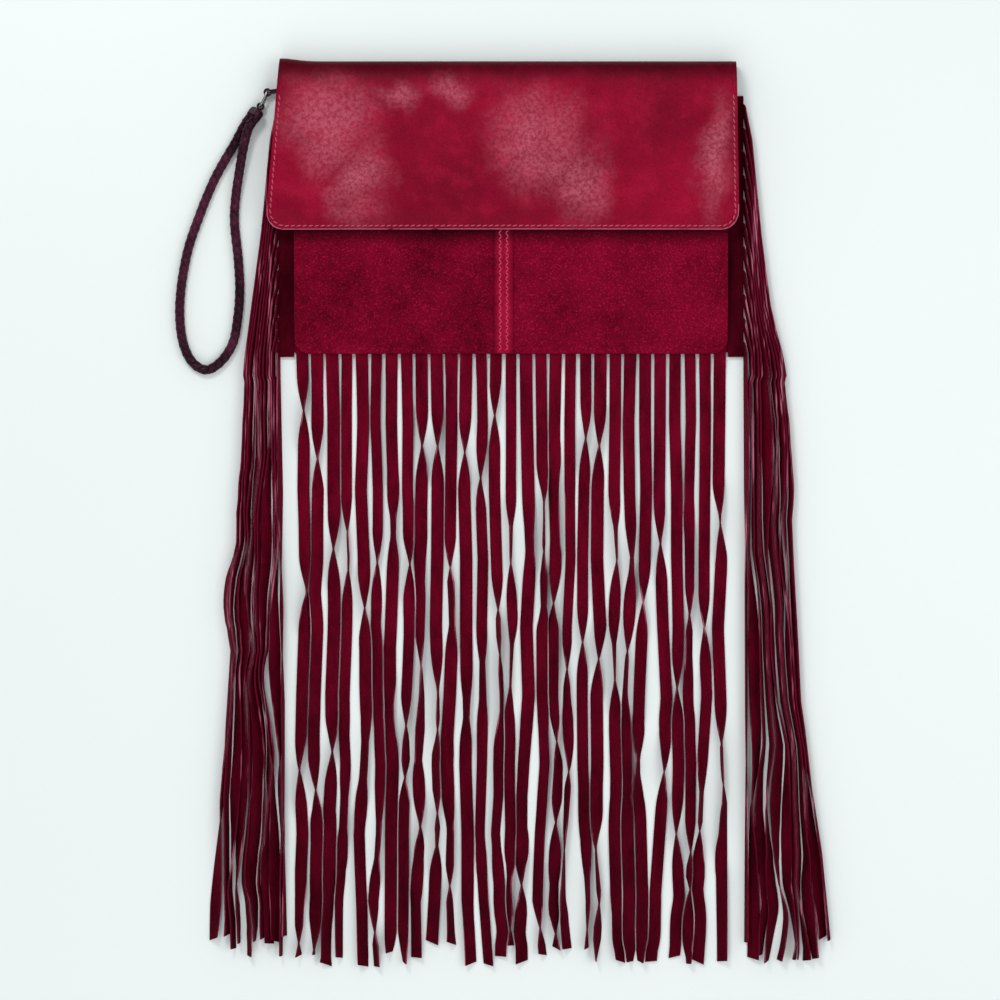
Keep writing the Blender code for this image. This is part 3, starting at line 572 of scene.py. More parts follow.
def ramp_node(tree, value, *stops):
    """A colour ramp fed by a value. Each stop is (place, grey or colour)."""
    made = tree.nodes.new("ShaderNodeValToRGB")
    for element, (place, colour) in zip(made.color_ramp.elements, stops):
        element.position = place
        element.color = (*colour, 1) if hasattr(colour, "__len__") else (colour, colour, colour, 1)
    tree.links.new(value, made.inputs["Fac"])
    return made.outputs["Color"]


def mix_colour(tree, share, first, second, blend="MIX"):
    made = tree.nodes.new("ShaderNodeMix")
    made.data_type = "RGBA"
    made.blend_type = blend
    feed(tree, (made.inputs[0], made.inputs[6], made.inputs[7]), (share, first, second))
    return made.outputs[2]


def shaded(tree, colour, value):
    """A colour multiplied with a value or another colour."""
    return mix_colour(tree, 1.0, colour, value, "MULTIPLY")


def math_node(tree, operation, *values):
    made = tree.nodes.new("ShaderNodeMath")
    made.operation = operation
    feed(tree, made.inputs, values)
    return made.outputs[0]


def vector_node(tree, operation, *values):
    """Arithmetic on vectors. The length of one is a value, not a vector."""
    made = tree.nodes.new("ShaderNodeVectorMath")
    made.operation = operation
    feed(tree, made.inputs, values)
    return made.outputs["Value" if operation == "LENGTH" else "Vector"]


def add_relief(tree, shader, height, distance, strength=1.0):
    """Turns a height into a fine relief of the surface."""
    bump = tree.nodes.new("ShaderNodeBump")
    sockets = [bump.inputs[label] for label in ("Height", "Distance", "Strength")]
    feed(tree, sockets, (height, distance, strength))
    tree.links.new(bump.outputs["Normal"], shader.inputs["Normal"])


def along_axis(tree, vector, axis):
    """One coordinate of a vector."""
    made = tree.nodes.new("ShaderNodeSeparateXYZ")
    tree.links.new(vector, made.inputs[0])
    return made.outputs[axis]


def level_node(tree, value, places, levels):
    """A value mapped smoothly from two places to two levels, held outside."""
    made = tree.nodes.new("ShaderNodeMapRange")
    made.interpolation_type = "SMOOTHSTEP"
    made.inputs["From Min"].default_value, made.inputs["From Max"].default_value = places
    made.inputs["To Min"].default_value, made.inputs["To Max"].default_value = levels
    tree.links.new(value, made.inputs["Value"])
    return made.outputs["Result"]


def group_of(name, colours, outputs):
    """An empty node group that takes a place and some colours. Gives it with its sockets inside."""
    made = bpy.data.node_groups.new(name, "ShaderNodeTree")
    made.interface.new_socket("Vector", in_out="INPUT", socket_type="NodeSocketVector")
    for label in colours:
        made.interface.new_socket(label, in_out="INPUT", socket_type="NodeSocketColor")
    for label in outputs:
        kind = "NodeSocketColor" if label == "Colour" else "NodeSocketFloat"
        made.interface.new_socket(label, in_out="OUTPUT", socket_type=kind)
    given = made.nodes.new("NodeGroupInput").outputs
    return made, given, made.nodes.new("NodeGroupOutput").inputs


def make_nap_group():
    """Suede's nap: brushed patches, light flecks, a fine fuzzy height and painted shade that darkens the
    tips.
    """
    colours = ("Colour", "Dark", "Fleck")
    tree, given, made = group_of("Suede nap", colours, ("Colour", "Height", "Roughness"))
    vector, colour, dark, fleck = given[:4]
    patches = noise_node(tree, NAP_PATCHES, 4, vector, 0.62)
    grain = noise_node(tree, NAP_GRAIN, 2, vector)
    patch = ramp_node(tree, patches, (0.34, 0.0), (0.68, 1.0))
    stroke = ramp_node(tree, noise_node(tree, NAP_STROKES, 3, vector, 0.6), (0.30, 0.0), (0.72, 1.0))
    speck = ramp_node(tree, noise_node(tree, NAP_FLECKS, 2, vector, 0.7), (0.52, 0.0), (0.78, 1.0))
    base = mix_colour(tree, patch, dark, colour)
    base = mix_colour(tree, math_node(tree, "MULTIPLY", stroke, 0.55), base, colour)
    fleck_share = math_node(tree, "MULTIPLY", speck, math_node(tree, "MULTIPLY_ADD", patch, 0.45, 0.5))
    base = mix_colour(tree, fleck_share, base, fleck)
    base = mix_colour(tree, 0.8, base, ramp_node(tree, grain, (0.25, 0.62), (0.75, 1.0)), "MULTIPLY")
    # Painted shade towards the fringe's tips
    painted_tip_shade = level_node(tree, along_axis(tree, vector, "Y"), TIP_SHADE_PLACES, TIP_SHADE)
    height = math_node(tree, "ADD", grain, math_node(tree, "MULTIPLY", stroke, 0.6))
    rough = ramp_node(tree, patches, (0.3, 0.95), (0.7, 0.78))
    feed(tree, made, (shaded(tree, base, painted_tip_shade), height, rough))
    return tree


def make_grain_group():
    """Smooth leather: pebble grain, fine pores, pulled-up colour and uneven polish."""
    colours = ("Colour", "Dark", "Light")
    tree, given, made = group_of("Leather grain", colours, ("Colour", "Height", "Roughness"))
    vector, colour, dark, light = given[:4]
    pebbles = tree.nodes.new("ShaderNodeTexVoronoi")
    feed(tree, (pebbles.inputs["Vector"], pebbles.inputs["Scale"]), (vector, LEATHER_PEBBLES))
    wear = noise_node(tree, LEATHER_WEAR, 4, vector, 0.65)
    pores = noise_node(tree, LEATHER_PORES, 2, vector)
    cloud = ramp_node(tree, noise_node(tree, LEATHER_CLOUDS, 5, vector, 0.6), (0.32, 0.0), (0.70, 1.0))
    base = mix_colour(tree, cloud, dark, colour)
    pulled = ramp_node(tree, wear, (0.50, 0.0), (0.80, 1.0))
    base = mix_colour(tree, math_node(tree, "MULTIPLY", pulled, 0.35), base, light)
    crease = ramp_node(tree, pebbles.outputs["Distance"], (0.05, 1.0), (0.75, 0.55))
    base = mix_colour(tree, 0.55, base, crease, "MULTIPLY")
    dome = math_node(tree, "SUBTRACT", 1.0, pebbles.outputs["Distance"])
    height = math_node(tree, "ADD", dome, math_node(tree, "MULTIPLY", pores, 0.35))
    rough = ramp_node(tree, wear, (0.3, 0.36), (0.7, 0.52))
    feed(tree, made, (base, height, rough))
    return tree


def make_painted_highlight_group():
    """Painted highlights on the flap, in oval ragged patches, and painted shade on its darker top band."""
    tree, given, made = group_of("Painted shine", (), ("Shine", "Shade"))
    vector = given["Vector"]
    ragged = noise_node(tree, PAINTED_HIGHLIGHT_RAGS, 6, vector, 0.72)
    strokes = level_node(tree, noise_node(tree, PAINTED_HIGHLIGHT_STROKES, 5, vector, 0.75), (0.38, 0.62), (0.30, 1.0))
    wander = noise_node(tree, PAINTED_HIGHLIGHT_WANDER, 3, vector, output="Color")
    pushed = vector_node(tree, "MULTIPLY_ADD", wander, (PAINTED_HIGHLIGHT_WARP, PAINTED_HIGHLIGHT_WARP, 0.0), vector)
    total = 0.0
    for (x, y), (half_width, half_height) in PAINTED_HIGHLIGHT_PATCHES:
        middle = (x + PAINTED_HIGHLIGHT_WARP / 2, y + PAINTED_HIGHLIGHT_WARP / 2, 0.0)
        offset = vector_node(tree, "SUBTRACT", pushed, middle)
        scaled = vector_node(tree, "MULTIPLY", offset, (1 / half_width, 1 / half_height, 0.0))
        away = math_node(tree, "ADD", vector_node(tree, "LENGTH", scaled), ragged)
        total = math_node(tree, "MAXIMUM", total, level_node(tree, away, PAINTED_HIGHLIGHT_FADE, (1.0, 0.0)))
    # Painted shade: the top band of the flap is darkened
    shade = level_node(tree, along_axis(tree, vector, "Y"), PAINTED_TOP_SHADE_PLACES, PAINTED_TOP_SHADE)
    feed(tree, made, (math_node(tree, "MULTIPLY", total, strokes), shade))
    return tree


def tinted(colour, factor, lift=0.0):
    """A colour made darker or lighter."""
    return tuple(min(1.0, part * factor + lift) for part in colour)


def new_material(name, roughness, metallic=0.0, **constants):
    """A Principled material. The constants are named after its sockets, with underscores for blanks."""
    made = bpy.data.materials.new(name)
    made.use_nodes = True
    shader = made.node_tree.nodes["Principled BSDF"]
    shader.inputs["Roughness"].default_value = roughness
    shader.inputs["Metallic"].default_value = metallic
    for label, value in constants.items():
        shader.inputs[label.replace("_", " ")].default_value = value
    return made, made.node_tree, shader


def drawn_out(tree, streak):
    """The object's coordinates, drawn out so that a noise makes streaks."""
    drawn = tree.nodes.new("ShaderNodeMapping")
    feed(tree, (drawn.inputs["Vector"], drawn.inputs["Scale"]), (object_place(tree), streak))
    return drawn.outputs["Vector"]


def use_group(tree, shader, group, streak, colours, bump_distance, bump_strength):
    """Places a finish group in a material, with its colours, and wires it to the shader."""
    placed = tree.nodes.new("ShaderNodeGroup")
    placed.node_tree = group
    tree.links.new(drawn_out(tree, streak), placed.inputs["Vector"])
    for label, colour in colours.items():
        placed.inputs[label].default_value = (*colour, 1)
    tree.links.new(placed.outputs["Colour"], shader.inputs["Base Color"])
    tree.links.new(placed.outputs["Roughness"], shader.inputs["Roughness"])
    add_relief(tree, shader, placed.outputs["Height"], bump_distance, bump_strength)


class Finishes:
    """Every finish of the bag, made once from the chosen colours."""

    def __init__(self, colours):
        nap = make_nap_group()
        grain = make_grain_group()
        suede = tuple(colours.suede)
        edge = tuple(colours.cut_edge)
        dark = tinted(suede, SUEDE_DARK)
        self.suede = self.napped("front suede", nap, suede, dark, tinted(suede, SUEDE_FLECK, 0.012))
        # Painted shadow under the flap, on the front and on the seam strip
        self.paint_shadow_under_flap(self.suede)
        # Painted highlight: the seam strip gets a lighter copy of the suede
        seam_highlighted = tinted(suede, SEAM_PAINTED_HIGHLIGHT, 0.004)
        self.seam = self.napped("seam suede", nap, seam_highlighted, suede, tinted(seam_highlighted, SEAM_FLECK))
        self.paint_shadow_under_flap(self.seam)
        self.paint_seam_ridge_highlight(self.seam)
        base, dark, fleck = (tinted(suede, factor) for factor in (FRINGE_BASE, FRINGE_DARK, FRINGE_FLECK))
        self.fringe = self.napped("fringe suede", nap, base, dark, fleck, FRINGE_STREAK)
        # Painted shade beside the front's edges
        self.paint_shade_beside_front(self.fringe)
        self.leather = self.leather_with_painted_highlights("flap leather", grain, tuple(colours.leather))
        self.braid = self.smooth_leather(
            "braid leather", grain, tuple(colours.braid), relief=0.00012, gloss=0.20, depth=0.18, lift=4.5
        )
        self.edge = self.fibrous("cut edge", edge, EDGE_STREAK)
        self.raw_edge = self.fibrous("flap's raw edge", edge, RAW_EDGE_STREAK, pale_from=0.30)
        self.thread = self.spun("waxed thread", tuple(colours.thread))
        self.lining = self.woven("lining cloth", tuple(colours.lining))
        self.nickel = self.plated("nickel plate", (0.66, 0.64, 0.61))

    def napped(self, name, group, colour, dark, fleck, streak=(1, 1, 1)):
        """Suede, with a faint sheen on its nap."""
        made, tree, shader = new_material(
            name,
            roughness=0.9,
            Specular_IOR_Level=0.03,
            Sheen_Weight=0.04,
            Sheen_Roughness=0.5,
            Sheen_Tint=(0.9, 0.10, 0.25, 1),
        )
        colours = {"Colour": colour, "Dark": dark, "Fleck": fleck}
        use_group(tree, shader, group, streak, colours, bump_distance=0.0004, bump_strength=0.6)
        return made

    def shade(self, made, value):
        """Multiplies a material's colour with a value that changes over the surface."""
        base = made.node_tree.nodes["Principled BSDF"].inputs["Base Color"]
        made.node_tree.links.new(shaded(made.node_tree, base.links[0].from_socket, value), base)

    def paint_shadow_under_flap(self, made):
        """Painted shadow under the flap: darker suede where the flap covers it, fading out just below the
        flap's edge.
        """
        tree = made.node_tree
        along = along_axis(tree, object_place(tree), "Y")
        self.shade(made, level_node(tree, along, FLAP_SHADOW_PLACES, FLAP_SHADOW_STRENGTH))

    def paint_seam_ridge_highlight(self, made):
        """Painted highlight on the seam strip: bright along its ridge and as dark as the front at its
        sides.
        """
        tree = made.node_tree
        away = math_node(tree, "SUBTRACT", along_axis(tree, object_place(tree), "X"), SEAM_X)
        away = math_node(tree, "ABSOLUTE", away)
        self.shade(made, level_node(tree, away, SEAM_HIGHLIGHT_PLACES, SEAM_HIGHLIGHT_FADE))

    def paint_shade_beside_front(self, made):
        """Painted shade on the narrow strip between the front and the side fringes, which lies deep."""
        tree = made.node_tree
        place = object_place(tree)
        away = math_node(tree, "ABSOLUTE", along_axis(tree, place, "X"))
        inner = level_node(tree, away, GAP_INNER_PLACES, (1.0, GAP_PAINTED_SHADE))
        outer = level_node(tree, away, GAP_OUTER_PLACES, (GAP_PAINTED_SHADE, 1.0))
        lower = level_node(tree, along_axis(tree, place, "Y"), GAP_LOWER_PLACES, (1.0, 0.0))
        beside = math_node(tree, "MAXIMUM", inner, outer)
        self.shade(made, math_node(tree, "MAXIMUM", beside, lower))

    def smooth_leather(self, name, group, colour, relief, gloss, depth=0.55, lift=1.7):
        """Polished leather, its darker and lighter clouds made from one colour."""
        made, tree, shader = new_material(name, roughness=0.42, Specular_IOR_Level=gloss)
        colours = {"Colour": colour, "Dark": tinted(colour, depth), "Light": tinted(colour, lift, 0.01)}
        use_group(tree, shader, group, (1, 1, 1), colours, bump_distance=relief, bump_strength=0.5)
        return made

    def leather_with_painted_highlights(self, name, grain, colour):
        """The flap's leather, with painted highlights: patches painted lighter, and made glossier by a
        coat.
        """
        made = self.smooth_leather(name, grain, colour, relief=0.00018, gloss=0.05)
        tree = made.node_tree
        shader = tree.nodes["Principled BSDF"]
        base = shader.inputs["Base Color"]
        placed = tree.nodes.new("ShaderNodeGroup")
        placed.node_tree = make_painted_highlight_group()
        tree.links.new(object_place(tree), placed.inputs["Vector"])
        # Painted highlight: in its patches the colour is mixed towards a lighter one, and a coat adds real
        # gloss there
        wear_and_painted_highlight = placed.outputs["Shine"]
        share = math_node(tree, "MULTIPLY", wear_and_painted_highlight, PAINTED_HIGHLIGHT_SHARE)
        lit = mix_colour(tree, share, base.links[0].from_socket, PAINTED_HIGHLIGHT_COLOUR)
        tree.links.new(shaded(tree, lit, placed.outputs["Shade"]), base)
        tree.links.new(math_node(tree, "MULTIPLY", wear_and_painted_highlight, COAT_SHARE), shader.inputs["Coat Weight"])
        shader.inputs["Coat Roughness"].default_value = COAT_ROUGHNESS
        return made

    def fibrous(self, name, colour, streak, pale_from=0.54):
        """The pale inner fibre that a knife leaves along a cut, stained dark for long stretches."""
        made, tree, shader = new_material(name, roughness=0.9, Specular_IOR_Level=0.05)
        fibre = noise_node(tree, EDGE_FIBRES, 4, drawn_out(tree, streak), 0.6)
        stained = tuple(part * stain for part, stain in zip(colour, EDGE_STAIN))
        ramp = ramp_node(tree, fibre, (pale_from, stained), (pale_from + EDGE_FADE, colour))
        tree.links.new(ramp, shader.inputs["Base Color"])
        add_relief(tree, shader, fibre, distance=0.0003)
        return made

    def spun(self, name, colour):
        """Thread with a fine twist."""
        made, tree, shader = new_material(name, roughness=0.55, Specular_IOR_Level=0.1)
        twist = noise_node(tree, THREAD_TWIST, 2, object_place(tree))
        ramp = ramp_node(tree, twist, (0.3, tinted(colour, THREAD_SHADE)), (0.7, colour))
        tree.links.new(ramp, shader.inputs["Base Color"])
        add_relief(tree, shader, twist, distance=0.0001)
        return made

    def woven(self, name, colour):
        """Plain cloth, two crossed waves of thread."""
        made, tree, shader = new_material(name, roughness=0.8, Specular_IOR_Level=0.1)
        place = object_place(tree)
        threads = []
        for way in ("X", "Y"):
            wave = tree.nodes.new("ShaderNodeTexWave")
            wave.bands_direction = way
            feed(tree, (wave.inputs["Vector"], wave.inputs["Scale"]), (place, CLOTH_THREADS))
            threads.append(wave.outputs["Fac"])
        cloth = math_node(tree, "MAXIMUM", *threads)
        ramp = ramp_node(tree, cloth, (0.2, tinted(colour, CLOTH_SHADE)), (0.9, colour))
        tree.links.new(ramp, shader.inputs["Base Color"])
        add_relief(tree, shader, cloth, distance=0.0002)
        return made

    def plated(self, name, colour):
        """Bright metal, rubbed unevenly."""
        made, tree, shader = new_material(name, roughness=0.22, metallic=1.0)
        wear_and_painted_highlight = noise_node(tree, PLATE_RUBS, 3, object_place(tree))
        ramp = ramp_node(tree, wear_and_painted_highlight, (0.3, tinted(colour, PLATE_SHADE)), (0.7, colour))
        tree.links.new(ramp, shader.inputs["Base Color"])
        tree.links.new(ramp_node(tree, wear_and_painted_highlight, (0.3, 0.16), (0.75, 0.34)), shader.inputs["Roughness"])
        return made


_made = {}


def finishes():
    """The finishes, made when the first operator asks for them."""
    if "all" not in _made:
        _made["all"] = Finishes(bpy.context.scene.clutch_colours)
    return _made["all"]


def dress(node, finish):
    """Gives a node of the frame its finish."""
    piece = bpy.data.objects[node]
    piece.data.materials.clear()
    piece.data.materials.append(finish)


# Leather flap
def flap_outer(x, y):
    """Height of the flap's outer face, with its waves, stitch groove and worn-down edge."""
    inside = flap_edge_distance(x, y)
    wave = waves(x, y, FLAP_WAVES) * smooth(inside / FLAP_CALM_EDGE)
    groove = FLAP_GROOVE[0] * bump_of(inside, STITCH_INSET, FLAP_GROOVE[1])
    roll = FLAP_EDGE_ROLL[0] * math.exp(-max(0.0, inside) / FLAP_EDGE_ROLL[1])
    return flap_lying(x, y) + LEATHER + wave - groove - roll


def flap_profile(x, steps):
    """The outer face from the start of the rounding over the top to the middle of the fold."""
    start_y = FOLD_Y - FOLD_ROUNDING
    top = flap_outer(x, start_y)
    reach = FOLD_ROUNDING + fold_reach(x)
    rise = top - FOLD_MIDDLE_HEIGHT
    power = 2 / FOLD_SHAPE
    points = []
    for step in range(1, steps + 1):
        turn = step / steps * math.pi / 2
        y = start_y + reach * math.sin(turn) ** power
        z = FOLD_MIDDLE_HEIGHT + rise * power_of_cos(turn, power)
        points.append((y, z))
    return points


def make_flap_skin(look):
    """The flap's leather from its lower edge over the top, with its raw edge marked."""
    lying = FOLD_Y - FOLD_ROUNDING
    length = lying - FLAP_END_Y
    rows = []
    for distance in edge_steps(length, fine=0.0005, coarse=0.0035, near=0.0050):
        if length - LAST_ROW_GAP < distance < length:
            continue
        y = FLAP_END_Y + distance
        half = flap_half_width(y)
        inset = corner_inset(distance, FLAP_CORNER_RADIUS)
        left = flap_centre(y) - half + inset
        width = 2 * (half - inset)
        across = [left + step for step in edge_steps(width, fine=0.0005, coarse=0.0040, near=0.0050)]
        rows.append([Vector((x, y, flap_outer(x, y))) for x in across])
    columns = len(rows[-1])
    rows = [row if len(row) == columns else resampled(row, columns) for row in rows]
    profiles = [flap_profile(point.x, FLAP_ROUNDING_STEPS) for point in rows[-1]]
    for step in range(FLAP_ROUNDING_STEPS):
        y = profiles[0][step][0]
        narrower = flap_half_width(y) / flap_half_width(lying)
        row = []
        for point, profile in zip(rows[len(rows) - 1 - step], profiles):
            x = flap_centre(y) + (point.x - flap_centre(lying)) * narrower
            row.append(Vector((x, *profile[step])))
        rows.append(row)
    skin = grid_piece("flap_skin", rows, (look.leather, look.raw_edge), LEATHER, bevel=0.00025)
    for face in skin.data.polygons:
        middle = face.center
        if middle.y < 0 and flap_edge_distance(middle.x, middle.y) < RAW_EDGE_WIDTH:
            face.material_index = 1
    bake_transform(skin)
    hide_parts("flap")
    return skin


def resampled(row, count):
    """A row of points with another number of points along it."""
    made = []
    for index in range(count):
        place = index / (count - 1) * (len(row) - 1)
        low = min(int(place), len(row) - 2)
        made.append(row[low].lerp(row[low + 1], place - low))
    return made


def make_fold_skin(look):
    """The leather below the middle of the fold, down to the back panel's top edge."""
    power = 2 / FOLD_SHAPE
    half = FLAP_HALF_WIDTH_TOP
    columns = edge_steps(2 * half, fine=0.001, coarse=0.005, near=0.016)
    across = [FLAP_TOP_SHIFT + step - half for step in columns]
    rows = []
    for step in range(FOLD_ROUNDING_STEPS + 1):
        turn = step / FOLD_ROUNDING_STEPS * math.pi / 2
        out = power_of_cos(turn, power) if step < FOLD_ROUNDING_STEPS else 0.0
        z = FOLD_MIDDLE_HEIGHT - (FOLD_MIDDLE_HEIGHT - FOLD_BOTTOM) * math.sin(turn) ** power
        rows.append([Vector((x, mix(FOLD_INNER_Y, FOLD_Y + fold_reach(x), out), z)) for x in across])
    skin = grid_piece("fold_skin", rows, (look.leather,), LEATHER * FOLD_THINNED, looks_down=True)
    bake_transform(skin)
    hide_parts("fold")
    return skin


def stitch_template(name, length, thickness):
    """One stitch as a small rounded bar along X, made with a primitive."""
    deselect()
    bpy.ops.mesh.primitive_uv_sphere_add(segments=8, ring_count=6, radius=0.5)
    stitch = bpy.context.object
    stitch.name = name
    bpy.ops.object.mode_set(mode="EDIT")
    bpy.ops.mesh.select_all(action="SELECT")
    bpy.ops.transform.rotate(value=math.pi / 2, orient_axis="Y", center_override=(0, 0, 0))
    bpy.ops.transform.resize(value=(length, thickness, thickness))
    bpy.ops.object.mode_set(mode="OBJECT")
    return stitch


def lay_stitches(name, template, places, finish):
    """Copies a stitch to each (centre, heading, slope) and joins the copies in one piece."""
    mesh = bmesh.new()
    source = template.data
    for centre, heading, slope in places:
        along = Vector((math.cos(heading), math.sin(heading), slope)).normalized()
        side = Vector((0, 0, 1)).cross(along).normalized()
        up = along.cross(side)
        points = []
        for vert in source.vertices:
            points.append(mesh.verts.new(centre + along * vert.co.x + side * vert.co.y + up * vert.co.z))
        for face in source.polygons:
            mesh.faces.new([points[index] for index in face.vertices])
    bpy.data.objects.remove(template, do_unlink=True)
    return new_piece(name, mesh, (finish,))


def flap_stitch_line():
    """Evenly spaced (point, heading) places inside the flap's left, lower and right edges."""
    radius = FLAP_CORNER_RADIUS - STITCH_INSET
    top = FOLD_Y - FOLD_ROUNDING
    corner_y = FLAP_END_Y + FLAP_CORNER_RADIUS
    path = []
    for side in (-1, 1):
        edge = []
        for step in range(STITCH_SIDE_POINTS + 1):
            y = mix(top, corner_y, step / STITCH_SIDE_POINTS)
            edge.append(Vector((flap_centre(y) + side * (flap_half_width(y) - STITCH_INSET), y)))
        centre_x = flap_centre(corner_y) + side * (flap_half_width(corner_y) - FLAP_CORNER_RADIUS)
        for step in range(1, STITCH_CORNER_POINTS + 1):
            turn = step / STITCH_CORNER_POINTS * math.pi / 2
            x = centre_x + side * radius * math.cos(turn)
            edge.append(Vector((x, corner_y - radius * math.sin(turn))))
        path += edge if side < 0 else edge[::-1]
    places = []
    travelled = 0.0
    wanted = STITCH_PITCH / 2
    for start, end in zip(path, path[1:]):
        length = (end - start).length
        while travelled + length >= wanted:
            point = start.lerp(end, (wanted - travelled) / length)
            way = end - start
            places.append((point, math.atan2(way.y, way.x)))
            wanted += STITCH_PITCH
        travelled += length
    return places


def make_flap_stitches(look):
    """The row of slanting stitches round the flap, each laid along the leather's slope."""
    template = stitch_template("flap_stitch", STITCH_LENGTH, STITCH_THICKNESS)
    places = []
    for point, heading in flap_stitch_line():
        step = Vector((math.cos(heading), math.sin(heading))) * (STITCH_LENGTH / 2)
        ahead = flap_outer(point.x + step.x, point.y + step.y)
        behind = flap_outer(point.x - step.x, point.y - step.y)
        height = flap_outer(point.x, point.y) + STITCH_THICKNESS * STITCH_RISE
        centre = Vector((point.x, point.y, height))
        places.append((centre, heading + STITCH_SLANT, (ahead - behind) / STITCH_LENGTH))
    stitches = lay_stitches("flap_stitches", template, places, look.thread)
    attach(stitches, "flap")


# Suede front
def front_outer(x, y):
    """Height of the suede front's outer face, with its soft waves and the seam line above the fringe."""
    above = y - BOTTOM_Y
    inside = FRONT_HALF_WIDTH - abs(x)
    calm = smooth(above / FRONT_CALM_SEAM) * smooth(inside / FRONT_CALM_SIDE)
    groove = FRONT_GROOVE[0] * bump_of(above, FRONT_GROOVE_HEIGHT, FRONT_GROOVE[1])
    roll = FRONT_SIDE_ROLL[0] * math.exp(-inside / FRONT_SIDE_ROLL[1])
    return front_high(x, y) + waves(x, y, FRONT_WAVES) * calm - groove - roll


def make_front_skins(look):
    """The two panels of the suede front, rounded at the lower outer corners."""
    for name, node, low_x, high_x in (
        ("front_left_skin", "front_panel_left", -FRONT_HALF_WIDTH, SEAM_X - CLEARANCE / 2),
        ("front_right_skin", "front_panel_right", SEAM_X + CLEARANCE / 2, FRONT_HALF_WIDTH),
    ):
        rows = []
        for distance in edge_steps(MOUTH_Y - BOTTOM_Y, fine=0.0006, coarse=0.0032, near=0.0070):
            y = BOTTOM_Y + distance
            inset = corner_inset(distance, CORNER_RADIUS)
            left = max(low_x, -FRONT_HALF_WIDTH + inset)
            right = min(high_x, FRONT_HALF_WIDTH - inset)
            across = [mix(left, right, step / FRONT_COLUMNS) for step in range(FRONT_COLUMNS + 1)]
            rows.append([Vector((x, y, front_outer(x, y))) for x in across])
        skin = grid_piece(name, rows, (look.suede, look.edge), SUEDE, bevel=0.0002)
        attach(skin, "pouch")
        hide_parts(node)


def seam_outer(x, y):
    """Height of the raised strip over the centre seam, rounded across."""
    share = (x - SEAM_X) / (SEAM_STRIP_WIDTH / 2)
    rise = SEAM_STRIP_THICKNESS * (1 - SEAM_ROUNDING * share**4)
    pressed = SEAM_GROOVE[0] * bump_of(abs(x - SEAM_X), ZIGZAG_OFFSET, SEAM_GROOVE[1])
    return front_outer(x, y) + CLEARANCE + rise - pressed


def make_seam(look):
    """The raised strip with its uneven width, and a row of zigzag stitches along either side."""
    half = SEAM_STRIP_WIDTH / 2
    rows = []
    seam_length = MOUTH_Y - BOTTOM_Y - SEAM_SHORTER
    for distance in edge_steps(seam_length, fine=0.0006, coarse=0.0024, near=0.0040):
        y = BOTTOM_Y + distance + SEAM_ABOVE_BOTTOM
        uneven_half = half + waves(0.0, y, (SEAM_WAVE,))
        shares = [2 * step / SEAM_COLUMNS - 1 for step in range(SEAM_COLUMNS + 1)]
        across = [SEAM_X + share * uneven_half for share in shares]
        rows.append([Vector((x, y, seam_outer(x, y))) for x in across])
    thickness = SEAM_STRIP_THICKNESS * SEAM_THINNED
    strip = grid_piece("seam_strip_skin", rows, (look.seam, look.edge), thickness)
    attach(strip, "pouch")
    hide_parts("seam_strip")
    step = ZIGZAG_PITCH / 2
    length = math.hypot(step, ZIGZAG_WIDTH)
    template = stitch_template("zigzag_stitch", length, STITCH_THICKNESS * ZIGZAG_THINNED)
    places = []
    count = int((MOUTH_Y - BOTTOM_Y - 2 * ZIGZAG_MARGIN) / step)
    for offset in (-ZIGZAG_OFFSET, ZIGZAG_OFFSET):
        for index in range(count):
            y = BOTTOM_Y + ZIGZAG_MARGIN + (index + 0.5) * step
            lean = math.atan2(ZIGZAG_WIDTH, step) * (1 if index % 2 else -1)
            x = SEAM_X + offset
            centre = Vector((x, y, seam_outer(x, y) + STITCH_THICKNESS * ZIGZAG_RISE))
            rise = seam_outer(x, y + SLOPE_REACH) - seam_outer(x, y - SLOPE_REACH)
            slope = rise / (2 * SLOPE_REACH)
            places.append((centre, math.pi / 2 + lean, slope))
    stitches = lay_stitches("seam_stitches", template, places, look.thread)
    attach(stitches, "pouch")


# Fringes
def cut_short(sections, tip_y, slant):
    """Ends a strip at its own tip, which lies between two of its level sections, with a slanting cut."""
    kept = [section for section in sections if section[0].y > tip_y + TIP_ROOM]
    before, after = kept[-1], sections[len(kept)]
    share = (before[0].y - tip_y) / (before[0].y - after[0].y)
    tip = [low.lerp(high, share) for low, high in zip(before, after)]
    middle_x = sum(point.x for point in tip) / len(tip)
    return kept + [[point + Vector((0, slant * (point.x - middle_x), 0)) for point in tip]]


def lying_height(tilt, width):
    """Height of a strip's middle when its lower edge just clears the floor."""
    reach = width / 2 * abs(math.sin(tilt)) + STRIP_THICKNESS / 2 * abs(math.cos(tilt))
    return reach + CLEARANCE / 2


def reach_along(direction, tilt, width):
    """Half of a strip's extent along a direction. Both are angles in its cross-section's plane."""
    turn = direction - tilt
    return width / 2 * abs(math.cos(turn)) + STRIP_THICKNESS / 2 * abs(math.sin(turn))


def nested_room(inner_tilt, outer_tilt, width):
    """How far apart the middles of two strips on the floor must be, when one may lean over the other."""
    rise = lying_height(outer_tilt, width) - lying_height(inner_tilt, width)
    rooms = []
    for direction in (inner_tilt, inner_tilt - math.pi / 2, outer_tilt, outer_tilt - math.pi / 2):
        reach = reach_along(direction, inner_tilt, width) + reach_along(direction, outer_tilt, width)
        side = 1 if math.cos(direction) > 0 else -1
        if abs(math.cos(direction)) > 0.1:
            room = reach + SIDE_STRIP_GAP - side * math.sin(direction) * rise
            rooms.append(room / abs(math.cos(direction)))
    return min(rooms)


def keyed(keys, place):
    """The value at a place between (place, value) keys."""
    for (start, low), (end, high) in zip(keys, keys[1:]):
        if place <= end:
            return mix(low, high, max(0.0, place - start) / (end - start))
    return keys[-1][1]


